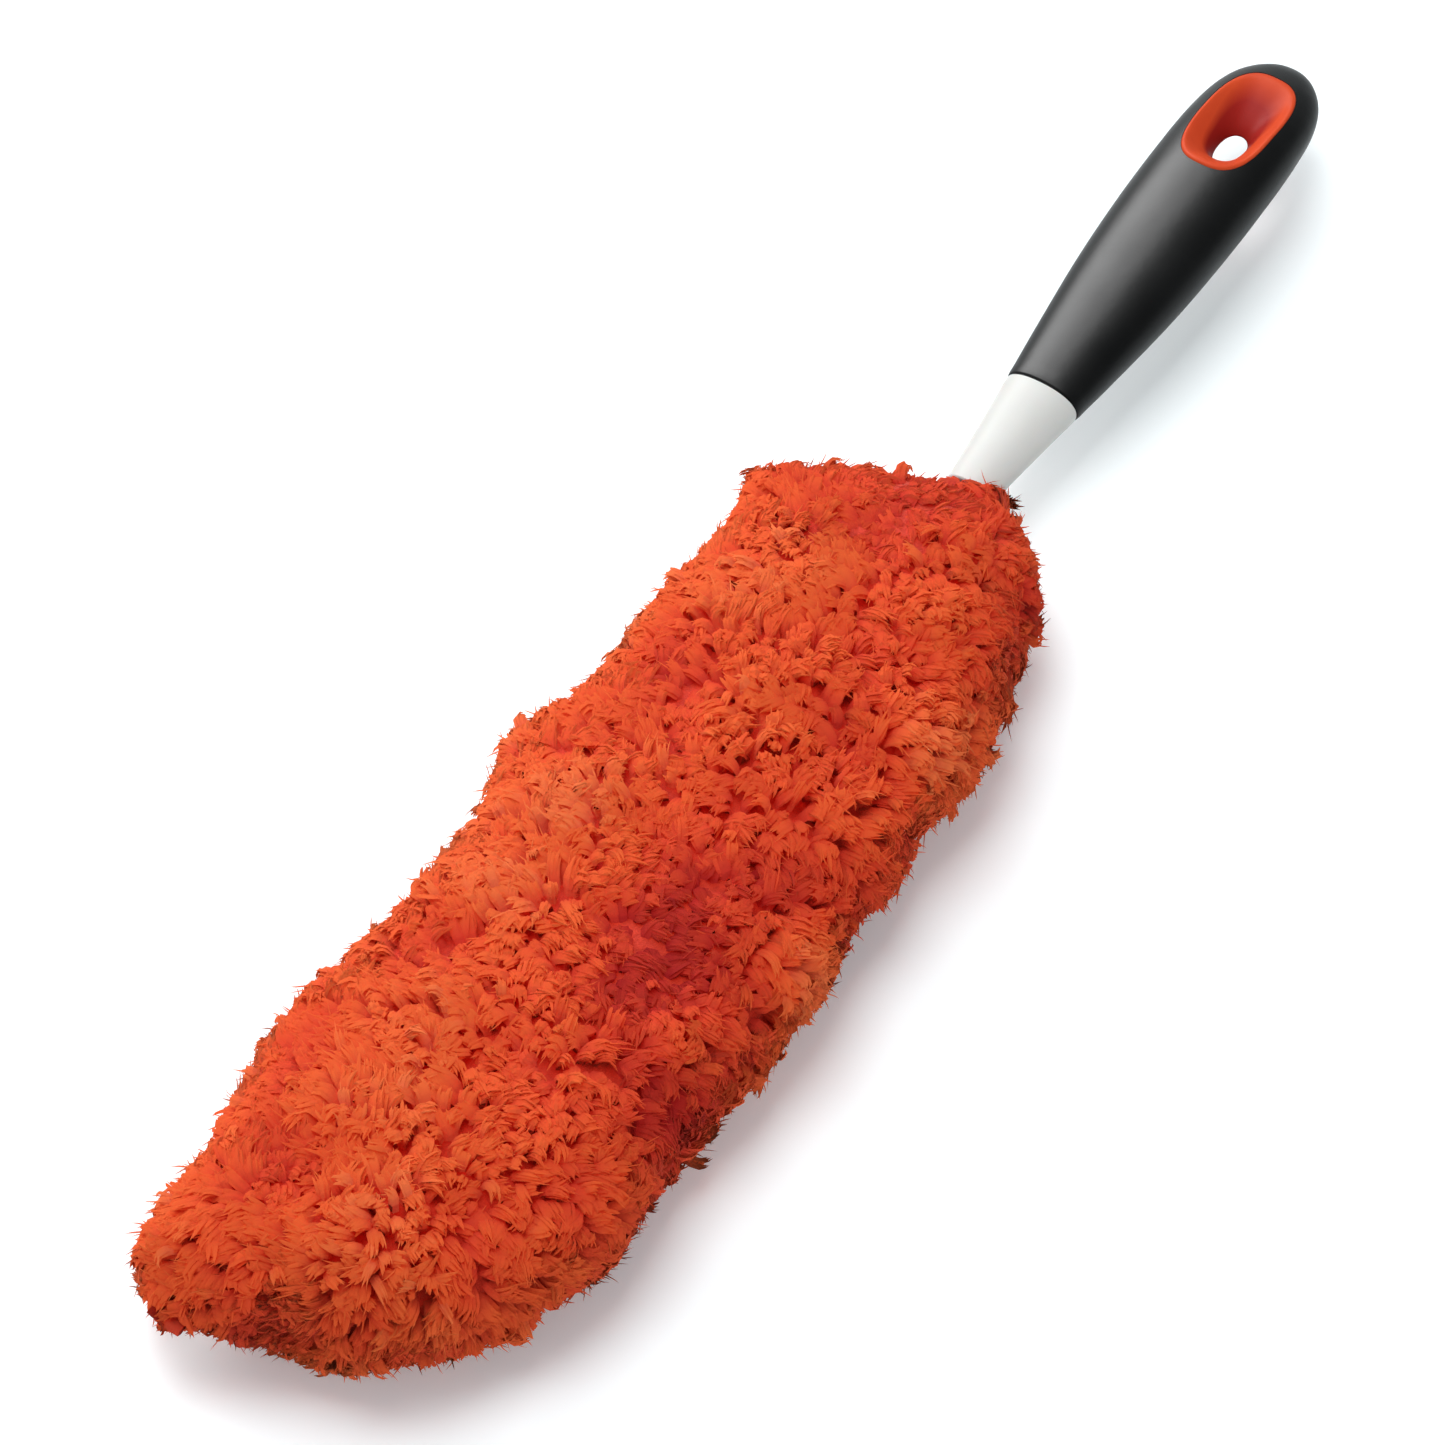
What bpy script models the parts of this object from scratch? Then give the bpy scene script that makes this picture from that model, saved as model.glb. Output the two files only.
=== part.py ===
"""Hand-held microfiber duster, lying flat on a table.

A long-pile microfibre sleeve is pulled over a flexible flat blade. The blade's root is pinned in
the socket of a tapered oval neck, whose tang runs on inside a soft rubber grip. The grip ends in
a flared hang hole with its own liner.

World frame: +X runs along the duster towards the hang hole, +Z is up, the table is z = 0, and the
origin is under the middle of the length. Lengths below are in millimetres, and every mesh is
scaled to metres when it is made.
"""

import math

import bpy
import numpy as np
from mathutils import Vector, noise

for old in list(bpy.data.objects):
    bpy.data.objects.remove(old, do_unlink=True)

# ---------------------------------------------------------------- driving dimensions (mm)

MM = 0.001
GAP = 0.3                 # between pieces that touch on the real thing

TIP_X = -235.0            # end of the pile
END_X = 235.0             # end of the grip
AXIS_Z = 27.0             # height of the blade's middle plane over the table
FLEX_X = 65.0             # where the blade's root bends
SEAM_X = 103.6            # neck to grip
FLEX_LIMIT = 20.0         # degrees each way that the neck opening has room for

# pile envelope: (x, middle of the section, half width, height over the middle plane)
PILE_ROWS = [
    (-235.0, 31.0, 0.0, 0.0),
    (-234.0, 31.0, 5.5, 4.5),
    (-232.0, 30.5, 10.5, 8.6),
    (-228.5, 28.5, 17.5, 13.0),
    (-224.0, 25.0, 23.5, 17.0),
    (-218.0, 20.0, 29.5, 20.8),
    (-210.0, 14.6, 35.3, 24.2),
    (-200.0, 10.2, 40.2, 26.6),
    (-188.0, 7.0, 45.2, 27.9),
    (-174.0, 4.6, 49.0, 28.6),
    (-155.0, 2.8, 50.4, 28.8),
    (-130.0, 1.4, 50.2, 28.6),
    (-100.0, 0.8, 49.6, 28.4),
    (-60.0, 1.2, 49.2, 28.2),
    (-15.0, 0.5, 47.8, 28.2),
    (15.0, 0.5, 46.6, 28.2),
    (32.0, 1.2, 45.0, 27.6),
    (43.0, 1.2, 41.5, 25.4),
    (51.0, 0.4, 35.5, 22.6),
    (58.0, -0.6, 27.5, 19.4),
    (64.0, -0.6, 19.5, 16.4),
    (69.0, -0.4, 14.5, 13.6),
    (73.0, 0.0, 12.0, 11.8),
]
PILE_SQUARE = 2.35        # exponent of the pile's cross section
PILE_LUMP = 3.3           # how far the tuft clumps rise and sink
PILE_SIDE = 52.5          # widest place, each side of the middle
PILE_PRESS = 1.05         # the underside before the table flattens it, against the upper side

# blade: (x, half width)
BLADE_THICK = 3.0
BLADE_HALF = 22.0
BLADE_TIP_X = -204.0
SLOT_HALF = 15.0          # openings between the rungs
SLOT_LEN = 24.0
SLOT_PITCH = 32.0
SLOT_FIRST_X = 24.0
SLOTS = 7
ROOT_HALF = 6.0

# sleeve
BACK_IN = 1.9             # inner face of a backing panel over the middle plane
BACK_OUT = 2.9
BACK_HALF = 26.0
BACK_REAR_X = 44.0
BACK_TIP_X = -209.0
CUFF_X0, CUFF_X1 = 44.3, 53.6
CUFF_OUT = (27.0, 5.2)
CUFF_IN = (23.2, 2.3)
GROOVE_X0, GROOVE_X1 = 46.4, 51.6
GROOVE = (25.6, 4.0)
MOUTH_HALF = (23.8, 2.5)

# neck and tang: (x, half width, half thickness)
NECK_ROWS = [
    (67.5, 6.75, 4.85),
    (71.0, 7.05, 5.0),
    (76.0, 7.55, 5.2),
    (82.0, 8.2, 5.45),
    (89.0, 9.0, 5.85),
    (96.0, 9.8, 6.25),
    (SEAM_X - 0.6, 10.64, 6.62),
    (SEAM_X - 0.15, 10.62, 6.6),
]
NECK_SQUARE = 2.25
TANG_ROWS = [
    (SEAM_X - 6.0, 8.2, 4.5),
    (112.0, 8.6, 4.8),
    (128.0, 9.6, 5.5),
    (148.0, 10.6, 6.1),
    (164.0, 10.2, 5.8),
    (175.0, 8.8, 4.6),
    (184.0, 7.6, 3.0),
]
SOCKET_HALF = (4.3, 1.9)
SOCKET_END_X = 118.0
PLUG_HALF = (4.0, 1.6)
PIN_X = 112.0
PIN_R = 1.0

# grip: (x, half width, half thickness, lift of its middle)
GRIP_ROWS = [
    (SEAM_X + 0.15, 10.35, 6.45, 0.0),
    (SEAM_X + 0.75, 10.86, 6.86, 0.0),
    (108.0, 11.3, 7.25, 0.0),
    (114.0, 12.05, 7.9, 0.0),
    (121.0, 12.85, 8.55, 0.1),
    (129.0, 13.75, 9.25, 0.2),
    (137.0, 14.6, 9.9, 0.35),
    (145.0, 15.35, 10.45, 0.5),
    (154.0, 16.0, 10.9, 0.7),
    (164.0, 16.5, 11.25, 0.95),
    (174.0, 16.85, 11.4, 1.15),
    (184.0, 17.0, 11.4, 1.3),
    (194.0, 17.0, 11.15, 1.45),
    (202.0, 16.85, 10.75, 1.5),
    (209.0, 16.45, 9.95, 1.4),
    (215.0, 15.85, 9.05, 1.15),
    (220.0, 14.85, 8.05, 0.9),
    (224.5, 13.3, 6.95, 0.65),
    (228.5, 11.0, 5.6, 0.4),
    (231.4, 8.4, 4.3, 0.25),
    (233.4, 5.8, 3.0, 0.15),
    (234.6, 3.1, 1.6, 0.1),
    (END_X, 0.0, 0.0, 0.1),
]
GRIP_SQUARE = 2.3

# hang hole: centre, half length, half width, exponent of the outline
RIM_TOP = (204.7, 20.4, 10.85, 2.8)
THROAT = (200.2, 6.3, 3.8, 2.2)
RIM_LOW = (203.4, 15.6, 9.6, 2.5)
THROAT_Z = 1.5            # over the blade's middle plane
LEAN = 0.058              # the hole leans sideways by this share of the height
LINER_WALL = 1.5
# the liner's inner face from the throat to the rim: outline share, height share, crown
FLARE_TOP = [
    (0.000, 0.000, 0.0),
    (0.030, 0.140, 0.0),
    (0.090, 0.300, 0.0),
    (0.180, 0.460, 0.0),
    (0.300, 0.610, 0.0),
    (0.440, 0.745, 0.0),
    (0.580, 0.855, 0.0),
    (0.700, 0.935, 0.10),
    (0.800, 0.980, 0.30),
    (0.890, 1.000, 0.48),
    (0.960, 1.000, 0.34),
]
FLARE_LOW = [
    (0.000, 0.000, 0.0),
    (0.100, 0.100, 0.0),
    (0.220, 0.210, 0.0),
    (0.340, 0.340, 0.0),
    (0.460, 0.490, 0.0),
    (0.580, 0.640, 0.0),
    (0.690, 0.780, 0.0),
    (0.780, 0.890, 0.10),
    (0.860, 0.970, 0.28),
    (0.920, 1.000, 0.42),
    (0.970, 1.000, 0.28),
]
EYELET_HALF_Z = 2.1
EYELET_OUT = (13.6, 9.6)

RING_GRIP = 44
RING_LINER = 36


# ---------------------------------------------------------------- helpers


def sgn_pow(value, power):
    return math.copysign(abs(value) ** power, value)


def ring(a, b, square, count, start=0.0):
    """Points of a superellipse in the plane, anticlockwise from +a."""
    out = []
    for i in range(count):
        t = start + 2 * math.pi * i / count
        out.append((a * sgn_pow(math.cos(t), 2 / square), b * sgn_pow(math.sin(t), 2 / square)))
    return out


def smooth_rows(rows, xs):
    """Monotone cubic interpolation of each column of rows at xs."""
    rows = np.array(rows, float)
    x, y = rows[:, 0], rows[:, 1:]
    h = np.diff(x)
    d = np.diff(y, axis=0) / h[:, None]
    m = np.zeros_like(y)
    m[0], m[-1] = d[0], d[-1]
    for i in range(1, len(x) - 1):
        w1, w2 = 2 * h[i] + h[i - 1], h[i] + 2 * h[i - 1]
        for c in range(y.shape[1]):
            a, b = d[i - 1, c], d[i, c]
            m[i, c] = 0.0 if a * b <= 0 else (w1 + w2) / (w1 / a + w2 / b)
    out = []
    for v in xs:
        i = int(np.clip(np.searchsorted(x, v) - 1, 0, len(x) - 2))
        t = (v - x[i]) / h[i]
        h00, h10 = 2 * t**3 - 3 * t**2 + 1, t**3 - 2 * t**2 + t
        h01, h11 = -2 * t**3 + 3 * t**2, t**3 - t**2
        out.append(h00 * y[i] + h10 * h[i] * m[i] + h01 * y[i + 1] + h11 * h[i] * m[i + 1])
    return np.array(out)


def mesh_object(name, verts, faces, origin=(0.0, 0.0, AXIS_Z)):
    """A mesh object from millimetre points, with its origin moved onto a given point."""
    o = np.array(origin, float)
    pts = (np.array(verts, float) - o) * MM
    mesh = bpy.data.meshes.new(name)
    mesh.from_pydata([tuple(p) for p in pts], [], faces)
    mesh.validate()
    mesh.update()
    obj = bpy.data.objects.new(name, mesh)
    obj.location = Vector(o * MM)
    bpy.context.scene.collection.objects.link(obj)
    return obj


def face_out(obj):
    """Turns the whole mesh so that its volume is positive."""
    mesh = obj.data
    total = 0.0
    mesh.calc_loop_triangles()
    for tri in mesh.loop_triangles:
        a, b, c = (mesh.vertices[i].co for i in tri.vertices)
        total += a.dot(b.cross(c))
    if total < 0:
        mesh.flip_normals()
    return obj


def loft(name, loops, origin=(0.0, 0.0, AXIS_Z)):
    """A closed body through loops of equal length. A loop of one point is a pole."""
    verts, faces, starts = [], [], []
    for loop in loops:
        starts.append(len(verts))
        verts.extend(loop)
    for k in range(len(loops) - 1):
        s0, s1, n0, n1 = starts[k], starts[k + 1], len(loops[k]), len(loops[k + 1])
        n = max(n0, n1)
        for i in range(n):
            j = (i + 1) % n
            if n0 == 1:
                faces.append((s0, s1 + j, s1 + i))
            elif n1 == 1:
                faces.append((s0 + i, s0 + j, s1))
            else:
                faces.append((s0 + i, s0 + j, s1 + j, s1 + i))
    if len(loops[0]) > 1:
        faces.append(tuple(reversed(range(starts[0], starts[0] + len(loops[0])))))
    if len(loops[-1]) > 1:
        faces.append(tuple(range(starts[-1], starts[-1] + len(loops[-1]))))
    return face_out(mesh_object(name, verts, faces, origin))


def section(x, a, b, square, count, lift=0.0, start=0.0):
    return [(x, y, AXIS_Z + lift + z) for y, z in ring(a, b, square, count, start)]


def prism(name, outline, low, high, origin=(0.0, 0.0, AXIS_Z)):
    """A plate with a plan outline, between two heights."""
    return loft(name, [[(x, y, low) for x, y in outline], [(x, y, high) for x, y in outline]], origin)


def combine(obj, other, operation):
    """Applies an exact Boolean at once and removes the other body."""
    mod = obj.modifiers.new(operation, "BOOLEAN")
    mod.operation = operation
    mod.solver = "EXACT"
    mod.object = other
    bpy.context.view_layer.update()
    graph = bpy.context.evaluated_depsgraph_get()
    made = bpy.data.meshes.new_from_object(obj.evaluated_get(graph))
    obj.modifiers.clear()
    old = obj.data
    obj.data = made
    made.name = obj.name
    bpy.data.meshes.remove(old)
    bpy.data.objects.remove(other, do_unlink=True)
    return obj


def paint(obj, colour, rough, metal=0.0):
    mat = bpy.data.materials.new(obj.name)
    mat.use_nodes = True
    shader = next(n for n in mat.node_tree.nodes if n.type == "BSDF_PRINCIPLED")
    shader.inputs["Base Color"].default_value = (*colour, 1.0)
    shader.inputs["Roughness"].default_value = rough
    shader.inputs["Metallic"].default_value = metal
    obj.data.materials.clear()
    obj.data.materials.append(mat)
    return obj


WHITE = (0.86, 0.86, 0.83)
BLACK = (0.012, 0.012, 0.012)
ORANGE = (0.78, 0.085, 0.018)
RED = (0.62, 0.055, 0.02)


# ---------------------------------------------------------------- hang hole outlines


def outline_radius(shape, angle):
    """Distance from the outline's centre to the outline in one direction."""
    _, a, b, square = shape
    c, s = abs(math.cos(angle)), abs(math.sin(angle))
    return ((c / a) ** square + (s / b) ** square) ** (-1 / square)


def grip_height(x, y):
    """(height, height) of the grip's upper and lower surface over the middle plane at x, y."""
    a, b, lift = smooth_rows(GRIP_ROWS, [x])[0]
    share = min(abs(y) / max(a, 1e-6), 0.995)
    z = b * (1 - share**GRIP_SQUARE) ** (1 / GRIP_SQUARE)
    return lift + z, lift - z


def flare_profile(angle, upper):
    """One side of the liner's inner face at this angle: (centre x, radius, height) from the throat to the rim."""
    rim = RIM_TOP if upper else RIM_LOW
    r_rim, r_throat = outline_radius(rim, angle), outline_radius(THROAT, angle)
    sign = 1 if upper else -1
    x = rim[0] + r_rim * math.cos(angle)
    y = r_rim * math.sin(angle) + LEAN * sign * 10.0
    up, down = grip_height(x, y)
    surface = up if upper else down
    out = []
    for share, rise, crown in FLARE_TOP if upper else FLARE_LOW:
        out.append((
            THROAT[0] + (rim[0] - THROAT[0]) * share,
            r_throat + (r_rim - r_throat) * share,
            THROAT_Z + (surface - THROAT_Z) * rise + sign * crown,
        ))
    out.append((rim[0], r_rim, surface - sign * 0.12))
    return out


def liner_profiles(angle, wall):
    """The liner's section at an angle: its inner face from upper rim to lower rim, and the hidden face back up."""
    upper = flare_profile(angle, True)
    lower = flare_profile(angle, False)
    face = upper[::-1] + lower[1:]
    points = np.array([(r, z) for _, r, z in face])
    # the hidden face is the inner face moved away from the hole, thinner towards the rims
    tangent = np.gradient(points, axis=0)
    tangent /= np.linalg.norm(tangent, axis=1)[:, None]
    normal = np.stack([-tangent[:, 1], tangent[:, 0]], axis=1)
    hidden = []
    last = len(face) - 1
    for i in range(2, last - 1):
        edge = min(i, last - i)
        t = wall * min(1.0, 0.62 + 0.075 * edge)
        hidden.append((face[i][0], points[i, 0] + normal[i, 0] * t, points[i, 1] + normal[i, 1] * t))
    return face, hidden


def place(entry, angle):
    cx, r, z = entry
    return (cx + r * math.cos(angle), r * math.sin(angle) + LEAN * z, AXIS_Z + z)


# ---------------------------------------------------------------- handle


def build_grip():
    """Soft rubber grip: a solid body round the tang, with the hang hole cut through it."""
    loops = [section(x, a, b, GRIP_SQUARE, RING_GRIP, lift) for x, a, b, lift in GRIP_ROWS[:-1]]
    loops.append([(END_X, 0.0, AXIS_Z + GRIP_ROWS[-1][3])])
    grip = loft("soft_grip", loops)
    combine(grip, tang_body("cut", GAP, SEAM_X - 4.0), "DIFFERENCE")
    combine(grip, hole_cutter(), "DIFFERENCE")
    return paint(grip, BLACK, 0.55)


def hole_cutter():
    """Everything inside the liner's hidden face, a little larger, and open through both surfaces."""
    columns = []
    for i in range(RING_LINER):
        angle = 2 * math.pi * (i + 0.5) / RING_LINER
        face, hidden = liner_profiles(angle, LINER_WALL + GAP)
        top, low = face[0], face[-1]
        rows = [(top[0], top[1] + GAP, 16.0), (top[0], top[1] + GAP, top[2] - 1.35)]
        rows += hidden
        rows += [(low[0], low[1] + GAP, low[2] + 1.35), (low[0], low[1] + GAP, -16.0)]
        columns.append([place(row, angle) for row in rows])
    return loft("cut", [[c[k] for c in columns] for k in range(len(columns[0]))])


def build_liner():
    """The moulded insert of the hang hole: a tube flared to a rounded rim at both faces."""
    columns = []
    for i in range(RING_LINER):
        angle = 2 * math.pi * (i + 0.5) / RING_LINER
        face, hidden = liner_profiles(angle, LINER_WALL)
        top, low = face[0], face[-1]
        rows = list(face)
        rows += [(low[0], low[1] - 0.05, low[2] + 0.95)]
        rows += hidden[::-1]
        rows += [(top[0], top[1] - 0.05, top[2] - 0.95)]
        columns.append([place(row, angle) for row in rows])
    count = len(columns[0])
    verts, faces = [], []
    for c in columns:
        verts.extend(c)
    for i in range(RING_LINER):
        j = (i + 1) % RING_LINER
        for k in range(count):
            m = (k + 1) % count
            faces.append((i * count + k, j * count + k, j * count + m, i * count + m))
    return paint(face_out(mesh_object("hang_hole_liner", verts, faces)), ORANGE, 0.42)


def tang_body(name, grow, start_x):
    """The core's hidden tang with its eyelet round the hang hole's liner, grown on every side."""
    rows = [r for r in TANG_ROWS if r[0] > start_x]
    first = smooth_rows(TANG_ROWS, [max(start_x, TANG_ROWS[0][0])])[0]
    loops = [section(start_x, first[0] + grow, first[1] + grow, 2.6, 28, start=0.11)]
    loops += [section(x, a + grow, b + grow, 2.6, 28, start=0.11) for x, a, b in rows]
    end = rows[-1]
    loops.append(section(end[0] + 7.0 + grow, end[1] - 0.6 + grow, 1.9 + grow, 2.6, 28, lift=0.8, start=0.11))
    tang = loft(name, loops)
    low = AXIS_Z + THROAT_Z - EYELET_HALF_Z - grow
    high = AXIS_Z + THROAT_Z + EYELET_HALF_Z + grow
    outer = [(THROAT[0] + 1.2 + x, y) for x, y in ring(EYELET_OUT[0] + grow, EYELET_OUT[1] + grow, 2.3, 40, 0.05)]
    combine(tang, prism("eye", outer, low, high), "UNION")
    if grow == 0.0:
        combine(tang, hole_cutter(), "DIFFERENCE")
    return tang


def build_core():
    """Rigid core: the visible oval neck with its socket, and the tang and eyelet inside the grip."""
    loops = [section(67.5, 6.2, 4.35, NECK_SQUARE, 44), section(67.95, 6.72, 4.82, NECK_SQUARE, 44)]
    loops += [section(x, a, b, NECK_SQUARE, 44) for x, a, b in NECK_ROWS[1:]]
    neck = loft("handle_core", loops)
    core = combine(neck, tang_body("tang", 0.0, SEAM_X - 5.0), "UNION")
    slot = rounded_box(SOCKET_HALF[0], SOCKET_HALF[1], 0.8)
    combine(core, loft("cut", [[(x, y, AXIS_Z + z) for y, z in slot] for x in (60.0, SOCKET_END_X)]), "DIFFERENCE")
    hole = ring(PIN_R + 0.25, PIN_R + 0.25, 2, 20)
    combine(core, prism("cut", [(PIN_X + x, y) for x, y in hole], AXIS_Z - 8, AXIS_Z + 8), "DIFFERENCE")
    return paint(core, WHITE, 0.3)


def rounded_box(a, b, r, count=4):
    """Outline of a rectangle with rounded corners, half sizes a and b."""
    out = []
    for cx, cy, start in ((a - r, b - r, 0), (r - a, b - r, 90), (r - a, r - b, 180), (a - r, r - b, 270)):
        for i in range(count + 1):
            t = math.radians(start + 90 * i / count)
            out.append((cx + r * math.cos(t), cy + r * math.sin(t)))
    return out


def build_plug():
    """The blade's root where it sits in the neck, pinned across."""
    outline = rounded_box(PLUG_HALF[0], PLUG_HALF[1], 0.6, 3)
    plug = loft("blade_plug", [[(x, y, AXIS_Z + z) for y, z in outline] for x in (FLEX_X + 1.9, SOCKET_END_X - 1.0)])
    hole = ring(PIN_R + 0.25, PIN_R + 0.25, 2, 20)
    combine(plug, prism("cut", [(PIN_X + x, y) for x, y in hole], AXIS_Z - 6, AXIS_Z + 6), "DIFFERENCE")
    return paint(plug, WHITE, 0.45)


def build_pin():
    body = ring(PIN_R, PIN_R, 2, 16)
    small = ring(PIN_R - 0.25, PIN_R - 0.25, 2, 16)
    half = 4.5
    loops = [
        [(PIN_X + x, y, AXIS_Z - half) for x, y in small],
        [(PIN_X + x, y, AXIS_Z - half + 0.3) for x, y in body],
        [(PIN_X + x, y, AXIS_Z + half - 0.3) for x, y in body],
        [(PIN_X + x, y, AXIS_Z + half) for x, y in small],
    ]
    return paint(loft("plug_pin", loops), (0.55, 0.55, 0.56), 0.3, 1.0)


# ---------------------------------------------------------------- blade

ON_FLEX = (FLEX_X, 0.0, AXIS_Z)


def blade_outline(half, tip_x, rear):
    """Half outline from the rear to the tip as (x, half width), closed with a rounded tip."""
    points = list(rear)
    long = 30.0
    for i in range(13):
        t = math.pi / 2 * i / 12
        points.append((tip_x + long - long * math.sin(t), half * max(math.cos(t), 0.0) ** 0.85))
    return points


def mirrored(points):
    """A closed plan outline from a half outline that ends on the axis."""
    up = [(x, y) for x, y in points]
    down = [(x, -y) for x, y in reversed(points) if abs(y) > 1e-6]
    return up + down


def build_blade():
    """Flexible flat blade: two rails joined by rungs, with a narrow root that bends."""
    rear = [(FLEX_X - 0.4, ROOT_HALF), (60.0, 6.3), (56.5, 8.0), (53.5, 11.5), (50.5, 15.6), (47.5, 18.9), (44.0, 21.0), (40.0, BLADE_HALF)]
    outline = mirrored(blade_outline(BLADE_HALF, BLADE_TIP_X, rear))
    h = BLADE_THICK / 2
    blade = prism("paddle_blade", outline, AXIS_Z - h, AXIS_Z + h, ON_FLEX)
    nose = ring(h, h, 2, 20)
    combine(blade, loft("nose", [[(FLEX_X + x, y, AXIS_Z + z) for x, z in nose] for y in (-ROOT_HALF + 0.35, ROOT_HALF - 0.35)]), "UNION")
    for i in range(SLOTS):
        cx = SLOT_FIRST_X - i * SLOT_PITCH
        slot = [(cx + x, y) for x, y in rounded_box(SLOT_LEN / 2, SLOT_HALF, 5.0)]
        combine(blade, prism("cut", slot, AXIS_Z - 6, AXIS_Z + 6), "DIFFERENCE")
    return paint(blade, WHITE, 0.45)


# ---------------------------------------------------------------- sleeve


def backing_outline(inset=0.0):
    rear = [(BACK_REAR_X, BACK_HALF - 1.5 - inset), (BACK_REAR_X - 2.0, BACK_HALF - inset)]
    return blade_outline(BACK_HALF - inset, BACK_TIP_X + inset, rear)


def build_backing(name, side):
    """One fabric panel of the sleeve: the pile stands on its outer face."""
    low, high = sorted((AXIS_Z + side * BACK_IN, AXIS_Z + side * BACK_OUT))
    return paint(prism(name, mirrored(backing_outline()), low, high, ON_FLEX), ORANGE, 0.9)


def build_binding():
    """Seam tape between the two panels, round both sides and the tip, open at the mouth."""
    outer, inner = backing_outline(), backing_outline(2.7)
    outer = [(BACK_REAR_X - 2.0, BACK_HALF)] + outer[2:]
    inner = [(BACK_REAR_X - 2.0, BACK_HALF - 2.7)] + inner[2:]
    strip_out = outer + [(x, -y) for x, y in reversed(outer) if y > 1e-6]
    strip_in = inner + [(x, -y) for x, y in reversed(inner) if y > 1e-6]
    outline = strip_out + strip_in[::-1]
    half = BACK_IN - GAP
    return paint(prism("edge_binding", outline, AXIS_Z - half, AXIS_Z + half, ON_FLEX), RED, 0.9)


def tube_ring(name, x0, x1, outer, inner, origin):
    """A flat ring round the X axis, with rounded ends across."""
    body = loft(name, [[(x, y, AXIS_Z + z) for y, z in rounded_box(outer[0], outer[1], outer[1] - 0.05, 5)] for x in (x0, x1)], origin)
    hole = rounded_box(inner[0], inner[1], inner[1] - 0.05, 5)
    return combine(body, loft("cut", [[(x, y, AXIS_Z + z) for y, z in hole] for x in (x0 - 5, x1 + 5)]), "DIFFERENCE")


def build_cuff():
    """Hem of the sleeve's mouth, folded round the elastic with the fold's edge left open inside."""
    cuff = tube_ring("cuff_casing", CUFF_X0, CUFF_X1, CUFF_OUT, CUFF_IN, ON_FLEX)
    groove = rounded_box(GROOVE[0], GROOVE[1], GROOVE[1] - 0.05, 5)
    combine(cuff, loft("cut", [[(x, y, AXIS_Z + z) for y, z in groove] for x in (GROOVE_X0, GROOVE_X1)]), "DIFFERENCE")
    return paint(cuff, RED, 0.9)


def build_elastic():
    band = tube_ring(
        "elastic_band", GROOVE_X0 + 0.4, GROOVE_X1 - 0.4,
        (GROOVE[0] - GAP, GROOVE[1] - GAP), (CUFF_IN[0] + 0.6, CUFF_IN[1] + 0.35), ON_FLEX,
    )
    return paint(band, (0.8, 0.79, 0.75), 0.9)


def clump(x, y, z):
    """Height of the tuft clumps at a point: ridged noise at two sizes."""
    big = noise.noise(Vector((x / 21.0, y / 21.0, z / 21.0 + 3.1)))
    small = 0.5 - abs(noise.noise(Vector((x / 12.0 + 9.0, y / 12.0, z / 12.0))))
    return 0.55 * big + 1.25 * (small - 0.3)


def build_pile(name, side):
    """The long pile on one panel. Its outer surface is the mean height of the tufts."""
    across = 29
    stations = [-235.0, -234.4, -233.0, -230.6, -227.2, -223.0]
    stations += list(np.arange(-218.6, 66.0, 4.74))
    stations += [69.0, 73.0]
    rows = smooth_rows(PILE_ROWS, stations)
    flat = AXIS_Z + side * GAP / 2
    loops = []
    for x, (mid, wide, high) in zip(stations, rows):
        if wide < 1.0:
            continue
        low = high if side > 0 else high * PILE_PRESS
        arc = []
        for i in range(across + 1):
            t = math.pi * i / across
            c, s = math.cos(t), math.sin(t)
            y = wide * sgn_pow(c, 2 / PILE_SQUARE)
            z = low * abs(s) ** (2 / PILE_SQUARE)
            edge = min(1.0, (x - TIP_X) / 14.0, (78.0 - x) / 10.0)
            push = PILE_LUMP * clump(x, mid + y, z * side) * max(edge, 0.15)
            if side < 0:
                push *= 1 - 0.8 * s * s
            scale = 1 + push / math.hypot(y, z)
            if i in (0, across):
                arc.append((x, mid + y * scale, flat))
                continue
            height = AXIS_Z + side * max(z * scale, GAP)
            arc.append((x, mid + y * scale, max(height, 0.0)))
        loops.append(arc)
    # both sides reach the same distance from the middle
    left = PILE_SIDE / max(p[1] for arc in loops for p in arc)
    right = PILE_SIDE / -min(p[1] for arc in loops for p in arc)
    loops = [[(x, y * (left if y > 0 else right), z) for x, y, z in arc] for arc in loops]
    for arc in loops:
        # the flat side that faces the other panel's pile
        x, y0, y1 = arc[0][0], arc[-1][1], arc[0][1]
        arc.extend([(x, y0 + (y1 - y0) * k / 4, flat) for k in range(1, 4)])
    tip = [(TIP_X, PILE_ROWS[0][1], flat)]
    pile = loft(name, [tip] + loops, ON_FLEX)
    for cutter in pocket_cutters():
        combine(pile, cutter, "DIFFERENCE")
    return paint(pile, ORANGE, 0.95)


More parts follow.
